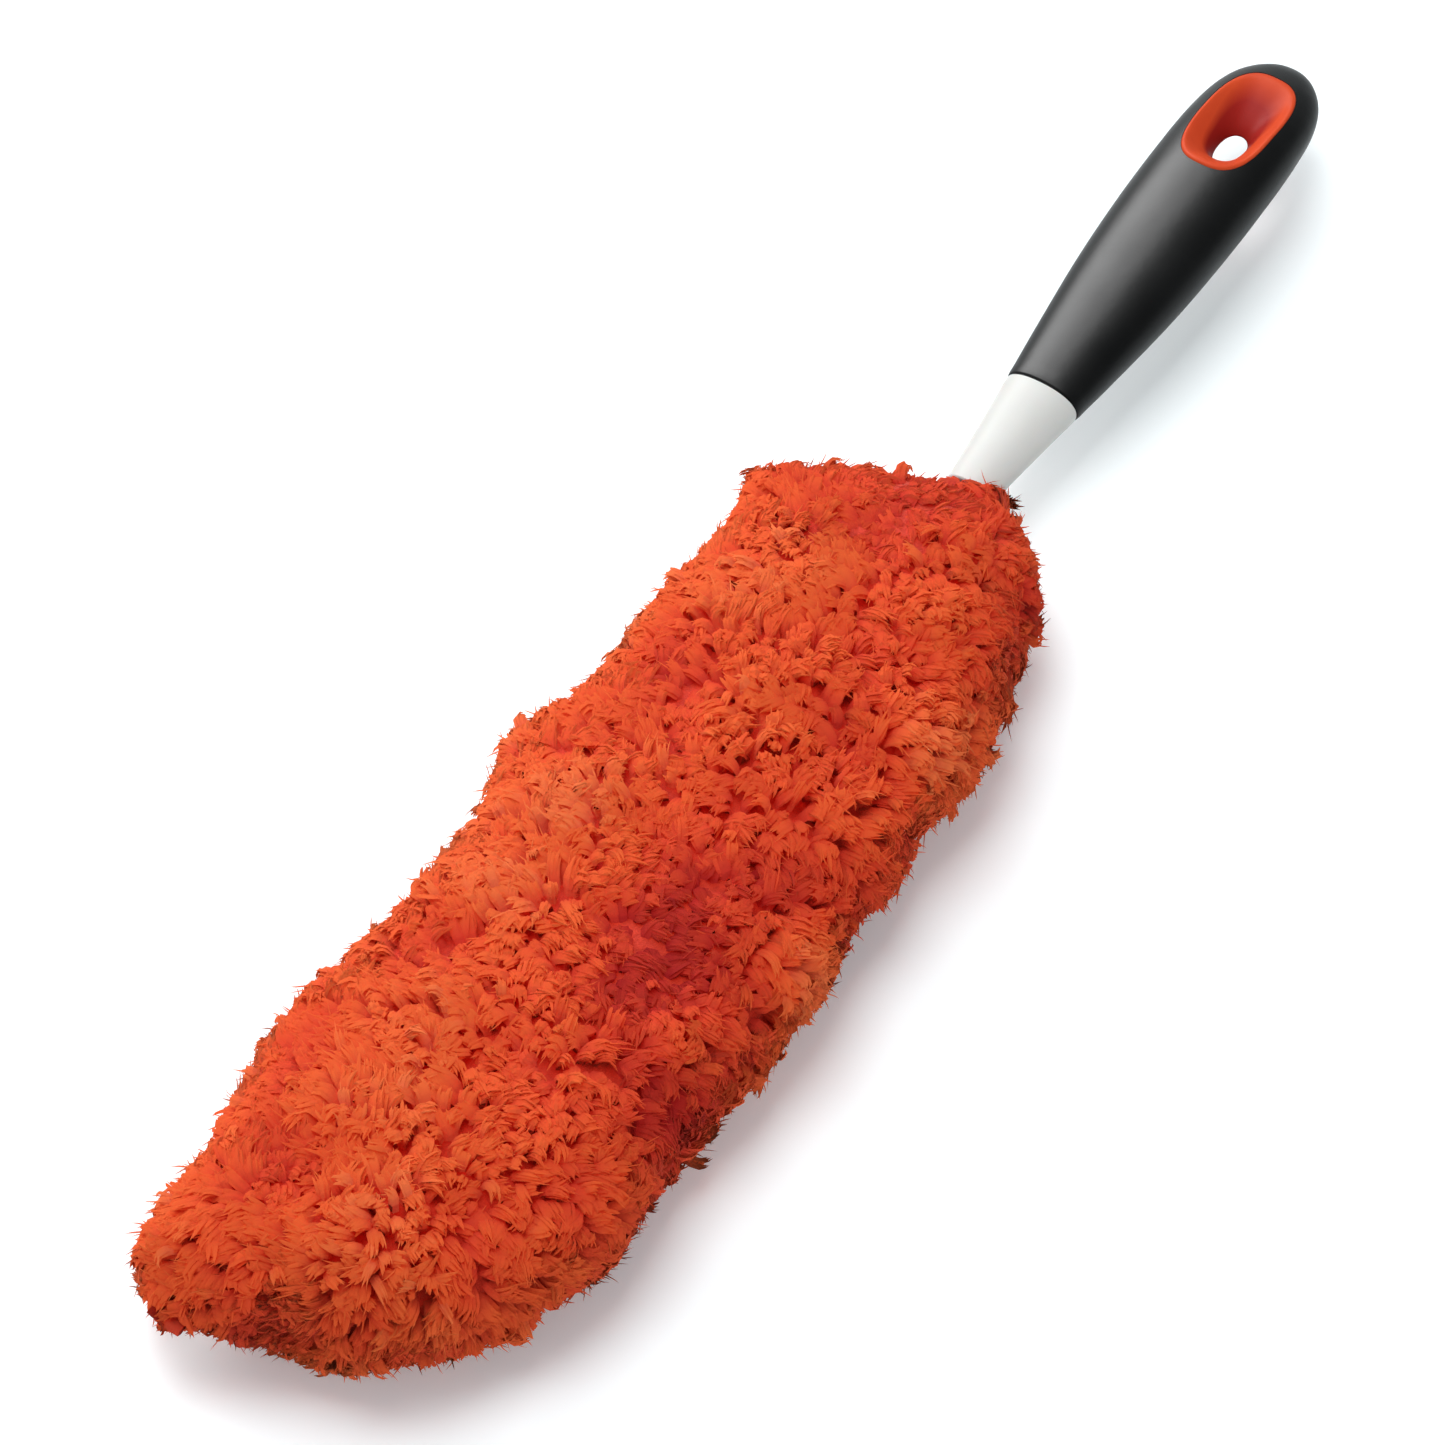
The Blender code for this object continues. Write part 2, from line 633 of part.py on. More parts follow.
def pocket_cutters():
    """Room inside the pile for the panels, the cuff, the blade sliding out, and the bending neck."""
    panel = mirrored(backing_outline(-GAP))
    yield prism("cut", [(min(x, BACK_REAR_X) if y else x, y) for x, y in panel], AXIS_Z - BACK_OUT - GAP, AXIS_Z + BACK_OUT + GAP)
    mouth = rounded_box(MOUTH_HALF[0], MOUTH_HALF[1], 1.0, 3)
    yield loft("cut", [[(x, y, AXIS_Z + z) for y, z in mouth] for x in (CUFF_X1 - 1.17, 91.3)])
    cuff = rounded_box(CUFF_OUT[0] + GAP, CUFF_OUT[1] + GAP, CUFF_OUT[1], 5)
    yield loft("cut", [[(x, y, AXIS_Z + z) for y, z in cuff] for x in (BACK_REAR_X - 1.4, CUFF_X1 + GAP)])
    loops = []
    for x in (CUFF_X1 - 2.0, 66.0, 72.0, 80.0):
        neck = smooth_rows(NECK_ROWS, [max(x, 67.5)])[0]
        swing = max(x - FLEX_X, 1.5) * math.tan(math.radians(FLEX_LIMIT))
        loops.append([(x, y, AXIS_Z + z) for y, z in ring(neck[0] + 1.5, neck[1] + swing + 1.4, 2.4, 28, 0.07)])
    yield loft("cut", loops)


# ---------------------------------------------------------------- the assembly

build_core()
build_grip()
build_liner()
build_plug()
build_pin()
build_blade()
build_backing("backing_top", 1)
build_backing("backing_bottom", -1)
build_binding()
build_cuff()
build_elastic()
build_pile("pile_top", 1)
build_pile("pile_bottom", -1)

for shown in bpy.data.objects:
    for polygon in shown.data.polygons:
        polygon.use_smooth = False
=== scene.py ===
"""Looks of the hand-held microfiber duster. Lengths below are millimetres unless they say otherwise."""

import math

import bpy
import numpy as np
from mathutils import Matrix, Vector, kdtree


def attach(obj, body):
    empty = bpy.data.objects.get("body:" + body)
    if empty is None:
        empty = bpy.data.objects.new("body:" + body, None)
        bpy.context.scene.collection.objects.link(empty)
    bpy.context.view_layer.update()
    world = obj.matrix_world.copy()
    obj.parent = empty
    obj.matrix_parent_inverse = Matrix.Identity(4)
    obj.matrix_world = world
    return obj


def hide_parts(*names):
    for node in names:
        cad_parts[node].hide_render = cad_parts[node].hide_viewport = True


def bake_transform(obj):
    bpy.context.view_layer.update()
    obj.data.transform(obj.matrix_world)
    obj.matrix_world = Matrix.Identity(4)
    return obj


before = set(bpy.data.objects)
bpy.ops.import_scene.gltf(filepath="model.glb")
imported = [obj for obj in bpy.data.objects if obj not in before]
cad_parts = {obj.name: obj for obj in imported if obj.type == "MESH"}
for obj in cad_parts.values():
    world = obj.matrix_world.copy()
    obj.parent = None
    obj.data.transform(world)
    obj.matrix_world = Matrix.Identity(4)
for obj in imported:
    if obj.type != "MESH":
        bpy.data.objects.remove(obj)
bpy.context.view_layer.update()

scene = bpy.context.scene
MM = 0.001
AXIS_Z = 27.0

# ---------------------------------------------------------------- camera

TURN = math.radians(57.194)
RAISE = math.radians(56.0)
right = Vector((math.cos(TURN), -math.sin(TURN), 0.0))
away = Vector((math.sin(TURN), math.cos(TURN), 0.0))
view = -math.cos(RAISE) * away + Vector((0.0, 0.0, math.sin(RAISE)))
above = math.sin(RAISE) * away + Vector((0.0, 0.0, math.cos(RAISE)))

FOCAL = 5173.65
cam_data = bpy.data.cameras.new("camera")
cam = bpy.data.objects.new("camera", cam_data)
scene.collection.objects.link(cam)
scene.camera = cam
cam_data.sensor_width = 36.0
cam_data.lens = FOCAL / 1445.0 * 36.0
cam_data.clip_start, cam_data.clip_end = 0.05, 20.0
cam.location = Vector((0.0, 0.0, AXIS_Z * MM)) + 1.3 * view
forward = (-FOCAL * view - 103.4 * right - 47.1 * above).normalized()
side = forward.cross(above).normalized()
upright = side.cross(forward).normalized()
cam.rotation_mode = "QUATERNION"
turned = np.array([side, upright, -forward]).T
cam.rotation_quaternion = Matrix(turned.tolist()).to_quaternion()

scene.view_settings.view_transform = "Standard"
scene.view_settings.look = "None"

# ---------------------------------------------------------------- shader helpers


class Nodes:
    """A material with a Principled shader, and short ways to add nodes to it."""

    def __init__(self, name, **values):
        self.mat = bpy.data.materials.new(name)
        self.mat.use_nodes = True
        self.tree = self.mat.node_tree
        self.shader = next(n for n in self.tree.nodes if n.type == "BSDF_PRINCIPLED")
        for key, value in values.items():
            self.set(key.replace("_", " "), value)

    def set(self, key, value):
        socket = self.shader.inputs[key]
        socket.default_value = (*value, 1.0) if isinstance(value, tuple) and len(value) == 3 and socket.type == "RGBA" else value

    def add(self, kind, **values):
        node = self.tree.nodes.new(kind)
        for key, value in values.items():
            if hasattr(node, key):
                setattr(node, key, value)
            else:
                node.inputs[key.replace("_", " ")].default_value = value
        return node

    def link(self, out, into):
        self.tree.links.new(out, into)

    def coords(self, scale=(1.0, 1.0, 1.0), turn=(0.0, 0.0, 0.0), kind="Object"):
        where = self.add("ShaderNodeTexCoord")
        mapping = self.add("ShaderNodeMapping")
        mapping.inputs["Scale"].default_value = scale
        mapping.inputs["Rotation"].default_value = turn
        self.link(where.outputs[kind], mapping.inputs["Vector"])
        return mapping.outputs["Vector"]

    def noise(self, vector, scale, detail=3.0, rough=0.55, distort=0.0):
        node = self.add("ShaderNodeTexNoise")
        node.inputs["Scale"].default_value = scale
        node.inputs["Detail"].default_value = detail
        node.inputs["Roughness"].default_value = rough
        node.inputs["Distortion"].default_value = distort
        self.link(vector, node.inputs["Vector"])
        return node.outputs["Fac"]

    def ramp(self, value, stops, mode="LINEAR"):
        node = self.add("ShaderNodeValToRGB")
        node.color_ramp.interpolation = mode
        elements = node.color_ramp.elements
        while len(elements) < len(stops):
            elements.new(0.5)
        for element, (place, colour) in zip(elements, stops):
            element.position = place
            element.color = (*colour, 1.0) if isinstance(colour, tuple) else (colour, colour, colour, 1.0)
        self.link(value, node.inputs["Fac"])
        return node.outputs["Color"]

    def mix(self, factor, a, b, mode="MIX"):
        node = self.add("ShaderNodeMix")
        node.data_type = "RGBA"
        node.blend_type = mode
        node.clamp_result = False
        for socket, value in ((node.inputs[0], factor), (node.inputs[6], a), (node.inputs[7], b)):
            if isinstance(value, (int, float)):
                socket.default_value = value if socket.type == "VALUE" else (value, value, value, 1.0)
            elif isinstance(value, tuple):
                socket.default_value = (*value, 1.0)
            else:
                self.link(value, socket)
        return node.outputs[2]

    def maths(self, operation, a, b=0.0):
        node = self.add("ShaderNodeMath")
        node.operation = operation
        for socket, value in zip(node.inputs, (a, b)):
            if isinstance(value, (int, float)):
                socket.default_value = value
            else:
                self.link(value, socket)
        return node.outputs[0]

    def bump(self, height, distance, strength=1.0, under=None):
        node = self.add("ShaderNodeBump")
        node.inputs["Strength"].default_value = strength
        node.inputs["Distance"].default_value = distance
        self.link(height, node.inputs["Height"])
        if under is not None:
            self.link(under, node.inputs["Normal"])
        return node.outputs["Normal"]

    def drive(self, key, socket):
        self.link(socket, self.shader.inputs[key])


# ---------------------------------------------------------------- stage


def area_light(name, spot, aim, size, power, colour=(1.0, 1.0, 1.0), spread=180.0):
    data = bpy.data.lights.new(name, "AREA")
    data.shape = "RECTANGLE"
    data.size, data.size_y = size
    data.energy = power
    data.color = colour
    data.spread = math.radians(spread)
    light = bpy.data.objects.new(name, data)
    light.location = spot
    light.rotation_mode = "QUATERNION"
    light.rotation_quaternion = (Vector(aim) - Vector(spot)).to_track_quat("-Z", "Y")
    scene.collection.objects.link(light)
    return light


def from_view(across, up, near):
    """A place given across the picture, away from the camera along the table, and up."""
    return right * across + away * up + Vector((0.0, 0.0, near))


area_light("side", from_view(-0.85, 1.25, 0.80), (0.0, 0.0, 0.0), (1.4, 0.9), 15.2, (1.0, 0.985, 0.965))
# a wide dim panel that only gives the grip and the neck their long soft highlight
panel = area_light("panel", from_view(-0.42, 1.14, 1.16), (0.0, 0.0, 0.0), (1.35, 1.2), 124.0)
panel.visible_diffuse = False
area_light("top", from_view(-0.22, 0.14, 1.7), (0.0, 0.0, 0.0), (0.9, 0.9), 18.0)
fill = area_light("fill", from_view(0.95, -0.75, 0.55), (0.0, 0.0, 0.0), (1.2, 0.9), 3.4)
fill.visible_glossy = False

world = bpy.data.worlds.new("world")
scene.world = world
world.use_nodes = True
back = next(n for n in world.node_tree.nodes if n.type == "BACKGROUND")
back.inputs["Color"].default_value = (0.90, 0.955, 1.0, 1.0)
# the room is paler on the side that the soft light stands on
facing = world.node_tree.nodes.new("ShaderNodeTexCoord")
toward = world.node_tree.nodes.new("ShaderNodeVectorMath")
toward.operation = "DOT_PRODUCT"
toward.inputs[1].default_value = from_view(-0.72, 0.60, 0.30).normalized()
fade = world.node_tree.nodes.new("ShaderNodeMapRange")
fade.inputs["From Min"].default_value = -0.4
fade.inputs["From Max"].default_value = 1.0
fade.inputs["To Min"].default_value = 0.30
fade.inputs["To Max"].default_value = 0.78
world.node_tree.links.new(facing.outputs["Generated"], toward.inputs[0])
world.node_tree.links.new(toward.outputs["Value"], fade.inputs["Value"])
# behind the floor's far edge the room looks as pale as the floor does there
seen = world.node_tree.nodes.new("ShaderNodeLightPath")
level = world.node_tree.nodes.new("ShaderNodeMix")
level.data_type = "FLOAT"
level.inputs[3].default_value = 0.46
world.node_tree.links.new(seen.outputs["Is Camera Ray"], level.inputs[0])
world.node_tree.links.new(fade.outputs["Result"], level.inputs[2])
world.node_tree.links.new(level.outputs[0], back.inputs["Strength"])


def build_floor():
    mesh = bpy.data.meshes.new("floor")
    s = 6.0
    mesh.from_pydata([(-s, -s, 0), (s, -s, 0), (s, s, 0), (-s, s, 0)], [], [(0, 1, 2, 3)])
    floor = bpy.data.objects.new("floor", mesh)
    scene.collection.objects.link(floor)
    n = Nodes("floor_paper", Roughness=0.9)
    n.set("Specular IOR Level", 0.1)
    grain = n.noise(n.coords(), 900.0, 2.0)
    n.drive("Base Color", n.ramp(grain, [(0.3, (0.86, 0.905, 0.91)), (0.7, (0.89, 0.93, 0.935))]))
    n.set("Emission Color", (0.93, 0.98, 1.0))
    n.set("Emission Strength", 0.15)
    mesh.materials.append(n.mat)


build_floor()

# ---------------------------------------------------------------- mesh helpers


def sgn_pow(value, power):
    return np.sign(value) * np.abs(value) ** power


def ring(a, b, square, count, start=0.0):
    t = start + 2 * math.pi * np.arange(count) / count
    return np.stack([a * sgn_pow(np.cos(t), 2 / square), b * sgn_pow(np.sin(t), 2 / square)], 1)


def slopes(rows):
    rows = np.array(rows, float)
    x, y = rows[:, 0], rows[:, 1:]
    h = np.diff(x)
    d = np.diff(y, axis=0) / h[:, None]
    m = np.zeros_like(y)
    m[0], m[-1] = d[0], d[-1]
    for i in range(1, len(x) - 1):
        w1, w2 = 2 * h[i] + h[i - 1], h[i] + 2 * h[i - 1]
        for c in range(y.shape[1]):
            a, b = d[i - 1, c], d[i, c]
            m[i, c] = 0.0 if a * b <= 0 else (w1 + w2) / (w1 / a + w2 / b)
    return x, y, h, m


def smooth_rows(rows, xs):
    """Monotone cubic interpolation of each column of rows at xs, as in the CAD."""
    x, y, h, m = slopes(rows)
    xs = np.atleast_1d(np.asarray(xs, float))
    i = np.clip(np.searchsorted(x, xs) - 1, 0, len(x) - 2)
    t = ((xs - x[i]) / h[i])[:, None]
    h00, h10 = 2 * t**3 - 3 * t**2 + 1, t**3 - 2 * t**2 + t
    h01, h11 = -2 * t**3 + 3 * t**2, t**3 - t**2
    return h00 * y[i] + h10 * h[i][:, None] * m[i] + h01 * y[i + 1] + h11 * h[i][:, None] * m[i + 1]


def mesh_object(name, verts, faces, smooth=True):
    mesh = bpy.data.meshes.new(name)
    mesh.from_pydata((np.asarray(verts, float) * MM).tolist(), [], faces)
    mesh.validate()
    mesh.update()
    obj = bpy.data.objects.new(name, mesh)
    scene.collection.objects.link(obj)
    mesh.polygons.foreach_set("use_smooth", [smooth] * len(mesh.polygons))
    return obj


def face_out(obj):
    mesh = obj.data
    mesh.calc_loop_triangles()
    co = np.zeros(len(mesh.vertices) * 3)
    mesh.vertices.foreach_get("co", co)
    co = co.reshape(-1, 3)
    tri = np.zeros(len(mesh.loop_triangles) * 3, np.int32)
    mesh.loop_triangles.foreach_get("vertices", tri)
    a, b, c = co[tri.reshape(-1, 3)].transpose(1, 0, 2)
    if np.einsum("ij,ij->i", a, np.cross(b, c)).sum() < 0:
        mesh.flip_normals()
    return obj


def loft(name, loops, smooth=True):
    """A closed body through loops of equal length. A loop of one point is a pole."""
    verts, faces, starts = [], [], []
    for loop in loops:
        starts.append(len(verts))
        verts.extend(loop)
    for k in range(len(loops) - 1):
        s0, s1, n0, n1 = starts[k], starts[k + 1], len(loops[k]), len(loops[k + 1])
        n = max(n0, n1)
        for i in range(n):
            j = (i + 1) % n
            if n0 == 1:
                faces.append((s0, s1 + j, s1 + i))
            elif n1 == 1:
                faces.append((s0 + i, s0 + j, s1))
            else:
                faces.append((s0 + i, s0 + j, s1 + j, s1 + i))
    if len(loops[0]) > 1:
        faces.append(tuple(reversed(range(starts[0], starts[0] + len(loops[0])))))
    if len(loops[-1]) > 1:
        faces.append(tuple(range(starts[-1], starts[-1] + len(loops[-1]))))
    return face_out(mesh_object(name, verts, faces, smooth))


def section(x, a, b, square, count, lift=0.0, start=0.0):
    return [(x, y, AXIS_Z + lift + z) for y, z in ring(a, b, square, count, start)]


def prism(name, outline, low, high):
    return loft(name, [[(x, y, low) for x, y in outline], [(x, y, high) for x, y in outline]], False)


def combine(obj, other, operation):
    mod = obj.modifiers.new(operation, "BOOLEAN")
    mod.operation = operation
    mod.solver = "EXACT"
    mod.object = other
    bpy.context.view_layer.update()
    graph = bpy.context.evaluated_depsgraph_get()
    made = bpy.data.meshes.new_from_object(obj.evaluated_get(graph))
    obj.modifiers.clear()
    old = obj.data
    obj.data = made
    bpy.data.meshes.remove(old)
    made.name = obj.name
    bpy.data.objects.remove(other, do_unlink=True)
    return obj


def outer_normals(obj, slope, near=0.72):
    """Split normals: those faces that lie on an outer form take its exact normals, and the rest stay flat.
    slope(points) gives the form's unit normals and how far each point is from it, both in millimetres."""
    mesh = obj.data
    co = np.zeros(len(mesh.vertices) * 3)
    mesh.vertices.foreach_get("co", co)
    co = co.reshape(-1, 3) / MM
    exact, off = slope(co)
    corner = np.zeros(len(mesh.loops), np.int32)
    mesh.loops.foreach_get("vertex_index", corner)
    count = np.zeros(len(mesh.polygons), np.int32)
    mesh.polygons.foreach_get("loop_total", count)
    flat = np.zeros(len(mesh.polygons) * 3)
    mesh.polygons.foreach_get("normal", flat)
    flat = flat.reshape(-1, 3)
    face = np.repeat(np.arange(len(mesh.polygons)), count)
    on = (np.abs(off[corner]) < 0.06) & (np.einsum("ij,ij->i", exact[corner], flat[face]) > near)
    whole = np.ones(len(mesh.polygons), bool)
    np.logical_and.at(whole, face, on)
    use = whole[face]
    normals = np.where(use[:, None], exact[corner], flat[face])
    mesh.polygons.foreach_set("use_smooth", [True] * len(mesh.polygons))
    mesh.normals_split_custom_set(normals.tolist())
    mesh.update()
    return obj


def dress(obj, body, nodes_made, *nodes, slot=None):
    obj.data.materials.clear()
    obj.data.materials.append(nodes_made.mat if isinstance(nodes_made, Nodes) else nodes_made)
    if body:
        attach(obj, body)
    if nodes:
        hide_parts(*nodes)
    return obj


# ---------------------------------------------------------------- handle dimensions, as in the CAD

GAP = 0.3
FLEX_X = 65.0
SEAM_X = 103.6
END_X = 235.0
NECK_ROWS = [
    (67.5, 6.75, 4.85),
    (71.0, 7.05, 5.0),
    (76.0, 7.55, 5.2),
    (82.0, 8.2, 5.45),
    (89.0, 9.0, 5.85),
    (96.0, 9.8, 6.25),
    (SEAM_X - 0.6, 10.64, 6.62),
    (SEAM_X - 0.15, 10.62, 6.6),
]
NECK_SQUARE = 2.25
TANG_ROWS = [
    (SEAM_X - 6.0, 8.2, 4.5),
    (112.0, 8.6, 4.8),
    (128.0, 9.6, 5.5),
    (148.0, 10.6, 6.1),
    (164.0, 10.2, 5.8),
    (175.0, 8.8, 4.6),
    (184.0, 7.6, 3.0),
]
GRIP_ROWS = [
    (SEAM_X + 0.15, 10.35, 6.45, 0.0),
    (SEAM_X + 0.75, 10.86, 6.86, 0.0),
    (108.0, 11.3, 7.25, 0.0),
    (114.0, 12.05, 7.9, 0.0),
    (121.0, 12.85, 8.55, 0.1),
    (129.0, 13.75, 9.25, 0.2),
    (137.0, 14.6, 9.9, 0.35),
    (145.0, 15.35, 10.45, 0.5),
    (154.0, 16.0, 10.9, 0.7),
    (164.0, 16.5, 11.25, 0.95),
    (174.0, 16.85, 11.4, 1.15),
    (184.0, 17.0, 11.4, 1.3),
    (194.0, 17.0, 11.15, 1.45),
    (202.0, 16.85, 10.75, 1.5),
    (209.0, 16.45, 9.95, 1.4),
    (215.0, 15.85, 9.05, 1.15),
    (220.0, 14.85, 8.05, 0.9),
    (224.5, 13.3, 6.95, 0.65),
    (228.5, 11.0, 5.6, 0.4),
    (231.4, 8.4, 4.3, 0.25),
    (233.4, 5.8, 3.0, 0.15),
    (234.6, 3.1, 1.6, 0.1),
    (END_X, 0.0, 0.0, 0.1),
]
GRIP_SQUARE = 2.3
RIM_TOP = (204.7, 20.4, 10.85, 2.8)
THROAT = (200.2, 6.3, 3.8, 2.2)
RIM_LOW = (203.4, 15.6, 9.6, 2.5)
THROAT_Z = 1.5
LEAN = 0.058
LINER_WALL = 1.5
FLARE_TOP = [
    (0.000, 0.000, 0.0),
    (0.030, 0.140, 0.0),
    (0.090, 0.300, 0.0),
    (0.180, 0.460, 0.0),
    (0.300, 0.610, 0.0),
    (0.440, 0.745, 0.0),
    (0.580, 0.855, 0.0),
    (0.700, 0.935, 0.10),
    (0.800, 0.980, 0.30),
    (0.890, 1.000, 0.48),
    (0.960, 1.000, 0.34),
]
FLARE_LOW = [
    (0.000, 0.000, 0.0),
    (0.100, 0.100, 0.0),
    (0.220, 0.210, 0.0),
    (0.340, 0.340, 0.0),
    (0.460, 0.490, 0.0),
    (0.580, 0.640, 0.0),
    (0.690, 0.780, 0.0),
    (0.780, 0.890, 0.10),
    (0.860, 0.970, 0.28),
    (0.920, 1.000, 0.42),
    (0.970, 1.000, 0.28),
]
RING_HIGH = 144


def outline_radius(shape, angle):
    _, a, b, square = shape
    c, s = abs(math.cos(angle)), abs(math.sin(angle))
    return ((c / a) ** square + (s / b) ** square) ** (-1 / square)


def grip_height(x, y):
    a, b, lift = smooth_rows(GRIP_ROWS, [x])[0]
    share = min(abs(y) / max(a, 1e-6), 0.995)
    z = b * (1 - share**GRIP_SQUARE) ** (1 / GRIP_SQUARE)
    return lift + z, lift - z


def flare_profile(angle, upper):
    rim = RIM_TOP if upper else RIM_LOW
    r_rim, r_throat = outline_radius(rim, angle), outline_radius(THROAT, angle)
    sign = 1 if upper else -1
    x = rim[0] + r_rim * math.cos(angle)
    y = r_rim * math.sin(angle) + LEAN * sign * 10.0
    surface = grip_height(x, y)[0 if upper else 1]
    out = []
    for share, rise, crown in FLARE_TOP if upper else FLARE_LOW:
        out.append((
            THROAT[0] + (rim[0] - THROAT[0]) * share,
            r_throat + (r_rim - r_throat) * share,
            THROAT_Z + (surface - THROAT_Z) * rise + sign * crown,
        ))
    out.append((rim[0], r_rim, surface - sign * 0.12))
    return out


def dense(points, steps):
    """Catmull-Rom points along a run of points, steps to each stretch."""
    p = np.array(points, float)
    p = np.vstack([2 * p[0] - p[1], p, 2 * p[-1] - p[-2]])
    out = []
    for i in range(1, len(p) - 2):
        for k in range(steps):
            t = k / steps
            out.append(0.5 * (
                2 * p[i] + (p[i + 1] - p[i - 1]) * t
                + (2 * p[i - 1] - 5 * p[i] + 4 * p[i + 1] - p[i + 2]) * t * t
                + (3 * p[i] - p[i - 1] - 3 * p[i + 1] + p[i + 2]) * t**3
            ))
    out.append(p[-2])
    return np.array(out)


def liner_profiles(angle, wall, steps=1):
    upper = flare_profile(angle, True)
    lower = flare_profile(angle, False)
    face = upper[::-1] + lower[1:]
    points = np.array([(r, z) for _, r, z in face])
    tangent = np.gradient(points, axis=0)
    tangent /= np.linalg.norm(tangent, axis=1)[:, None]
    normal = np.stack([-tangent[:, 1], tangent[:, 0]], axis=1)
    hidden = []
    last = len(face) - 1
    for i in range(2, last - 1):
        edge = min(i, last - i)
        t = wall * min(1.0, 0.62 + 0.075 * edge)
        hidden.append((face[i][0], points[i, 0] + normal[i, 0] * t, points[i, 1] + normal[i, 1] * t))
    if steps > 1:
        face = [tuple(p) for p in dense(face, steps)]
    return face, hidden


def place(entry, angle):
    cx, r, z = entry
    return (cx + r * math.cos(angle), r * math.sin(angle) + LEAN * z, AXIS_Z + z)


def hole_cutter():
    columns = []
    for i in range(RING_HIGH):
        angle = 2 * math.pi * (i + 0.5) / RING_HIGH
        face, hidden = liner_profiles(angle, LINER_WALL + GAP)
        top, low = face[0], face[-1]
        rows = [(top[0], top[1] + 0.12, 16.0), (top[0], top[1] + 0.12, top[2] - 1.35)]
        rows += hidden
        rows += [(low[0], low[1] + 0.12, low[2] + 1.35), (low[0], low[1] + 0.12, -16.0)]
        columns.append([place(row, angle) for row in rows])
    return loft("cut", [[c[k] for c in columns] for k in range(len(columns[0]))], False)


def form_slope(rows, square):
    """Exact normals, and distance off the surface, of a body that part of the handle is lofted on."""

    def slope(points):
        x, y, z = points.T
        low, high = rows[0][0], rows[-1][0]
        inside = np.clip(x, low, high - 1e-4)
        e = 0.02

        def value(x, y, z):
            f = smooth_rows(rows, np.clip(x, low, high - 1e-4))
            a, b = np.maximum(f[:, 0], 0.02), np.maximum(f[:, 1], 0.02)
            lift = f[:, 2] if f.shape[1] > 2 else 0.0
            return (np.abs(y / a) ** square + np.abs((z - AXIS_Z - lift) / b) ** square) ** (1 / square) - 1

        at = value(inside, y, z)
        grad = np.stack([
            (value(inside + e, y, z) - value(inside - e, y, z)) / (2 * e),
            (value(inside, y + e, z) - value(inside, y - e, z)) / (2 * e),
            (value(inside, y, z + e) - value(inside, y, z - e)) / (2 * e),
        ], 1)
        size = np.maximum(np.linalg.norm(grad, axis=1), 1e-9)
        off = at / size
        off = np.where((x < low - 0.05) | (x > high + 0.05), 9.0, off)
        return grad / size[:, None], off

    return slope


# ---------------------------------------------------------------- handle


def rubber():
    n = Nodes("satin_rubber", Roughness=0.38)
    n.set("Specular IOR Level", 0.115)
    n.set("Sheen Weight", 0.015)
    n.set("Sheen Roughness", 0.45)
    n.set("Sheen Tint", (0.8, 0.85, 0.9))
    where = n.coords()
    cloud = n.noise(where, 55.0, 4.0)
    grain = n.noise(where, 2600.0, 3.0, 0.6)
    lint = n.noise(where, 700.0, 2.0)
    tone = n.ramp(cloud, [(0.3, (0.0026, 0.0028, 0.0028)), (0.7, (0.0042, 0.0044, 0.0044))])
    n.drive("Base Color", n.mix(n.ramp(lint, [(0.66, 0.0), (0.8, 0.35)]), tone, (0.010, 0.010, 0.0105)))
    rough = n.ramp(cloud, [(0.25, 0.345), (0.75, 0.42)])
    n.drive("Roughness", rough)
    soft = n.bump(n.noise(where, 320.0, 2.0), 0.00012, 0.25)
    n.drive("Normal", n.bump(grain, 0.00004, 0.55, soft))
    return n


def build_grip():
    """Soft rubber grip, with exact normals over its whole outer form."""
    xs = np.concatenate([
        [SEAM_X + 0.15, SEAM_X + 0.3, SEAM_X + 0.5, SEAM_X + 0.75],
        np.arange(105.5, 222.0, 1.5), np.arange(222.3, 231.0, 0.9),
        [231.4, 232.2, 232.9, 233.4, 233.9, 234.3, 234.6, 234.8, 234.93],
    ])
    f = smooth_rows(GRIP_ROWS, xs)
    loops = [section(x, a, b, GRIP_SQUARE, RING_HIGH, lift) for x, (a, b, lift) in zip(xs, f)]
    loops.append([(END_X, 0.0, AXIS_Z + 0.1)])
    grip = loft("grip_rubber", loops)
    combine(grip, tang_body("cut", GAP, SEAM_X - 4.0), "DIFFERENCE")
    combine(grip, hole_cutter(), "DIFFERENCE")
    outer_normals(grip, form_slope(GRIP_ROWS, GRIP_SQUARE), 0.6)
    return dress(grip, "handle", rubber(), "soft_grip", slot="black_rubber")


def tang_body(name, grow, start_x):
    rows = [r for r in TANG_ROWS if r[0] > start_x]
    first = smooth_rows(TANG_ROWS, [max(start_x, TANG_ROWS[0][0])])[0]
    loops = [section(start_x, first[0] + grow, first[1] + grow, 2.6, 28, start=0.11)]
    loops += [section(x, a + grow, b + grow, 2.6, 28, start=0.11) for x, a, b in rows]
    end = rows[-1]
    loops.append(section(end[0] + 7.0 + grow, end[1] - 0.6 + grow, 1.9 + grow, 2.6, 28, lift=0.8, start=0.11))
    tang = loft(name, loops, False)
    low = AXIS_Z + THROAT_Z - 2.1 - grow
    high = AXIS_Z + THROAT_Z + 2.1 + grow
    outer = [(THROAT[0] + 1.2 + x, y) for x, y in ring(13.6 + grow, 9.6 + grow, 2.3, 40, 0.05)]
    combine(tang, prism("eye", outer, low, high), "UNION")
    if grow == 0.0:
        combine(tang, hole_cutter(), "DIFFERENCE")
    return tang


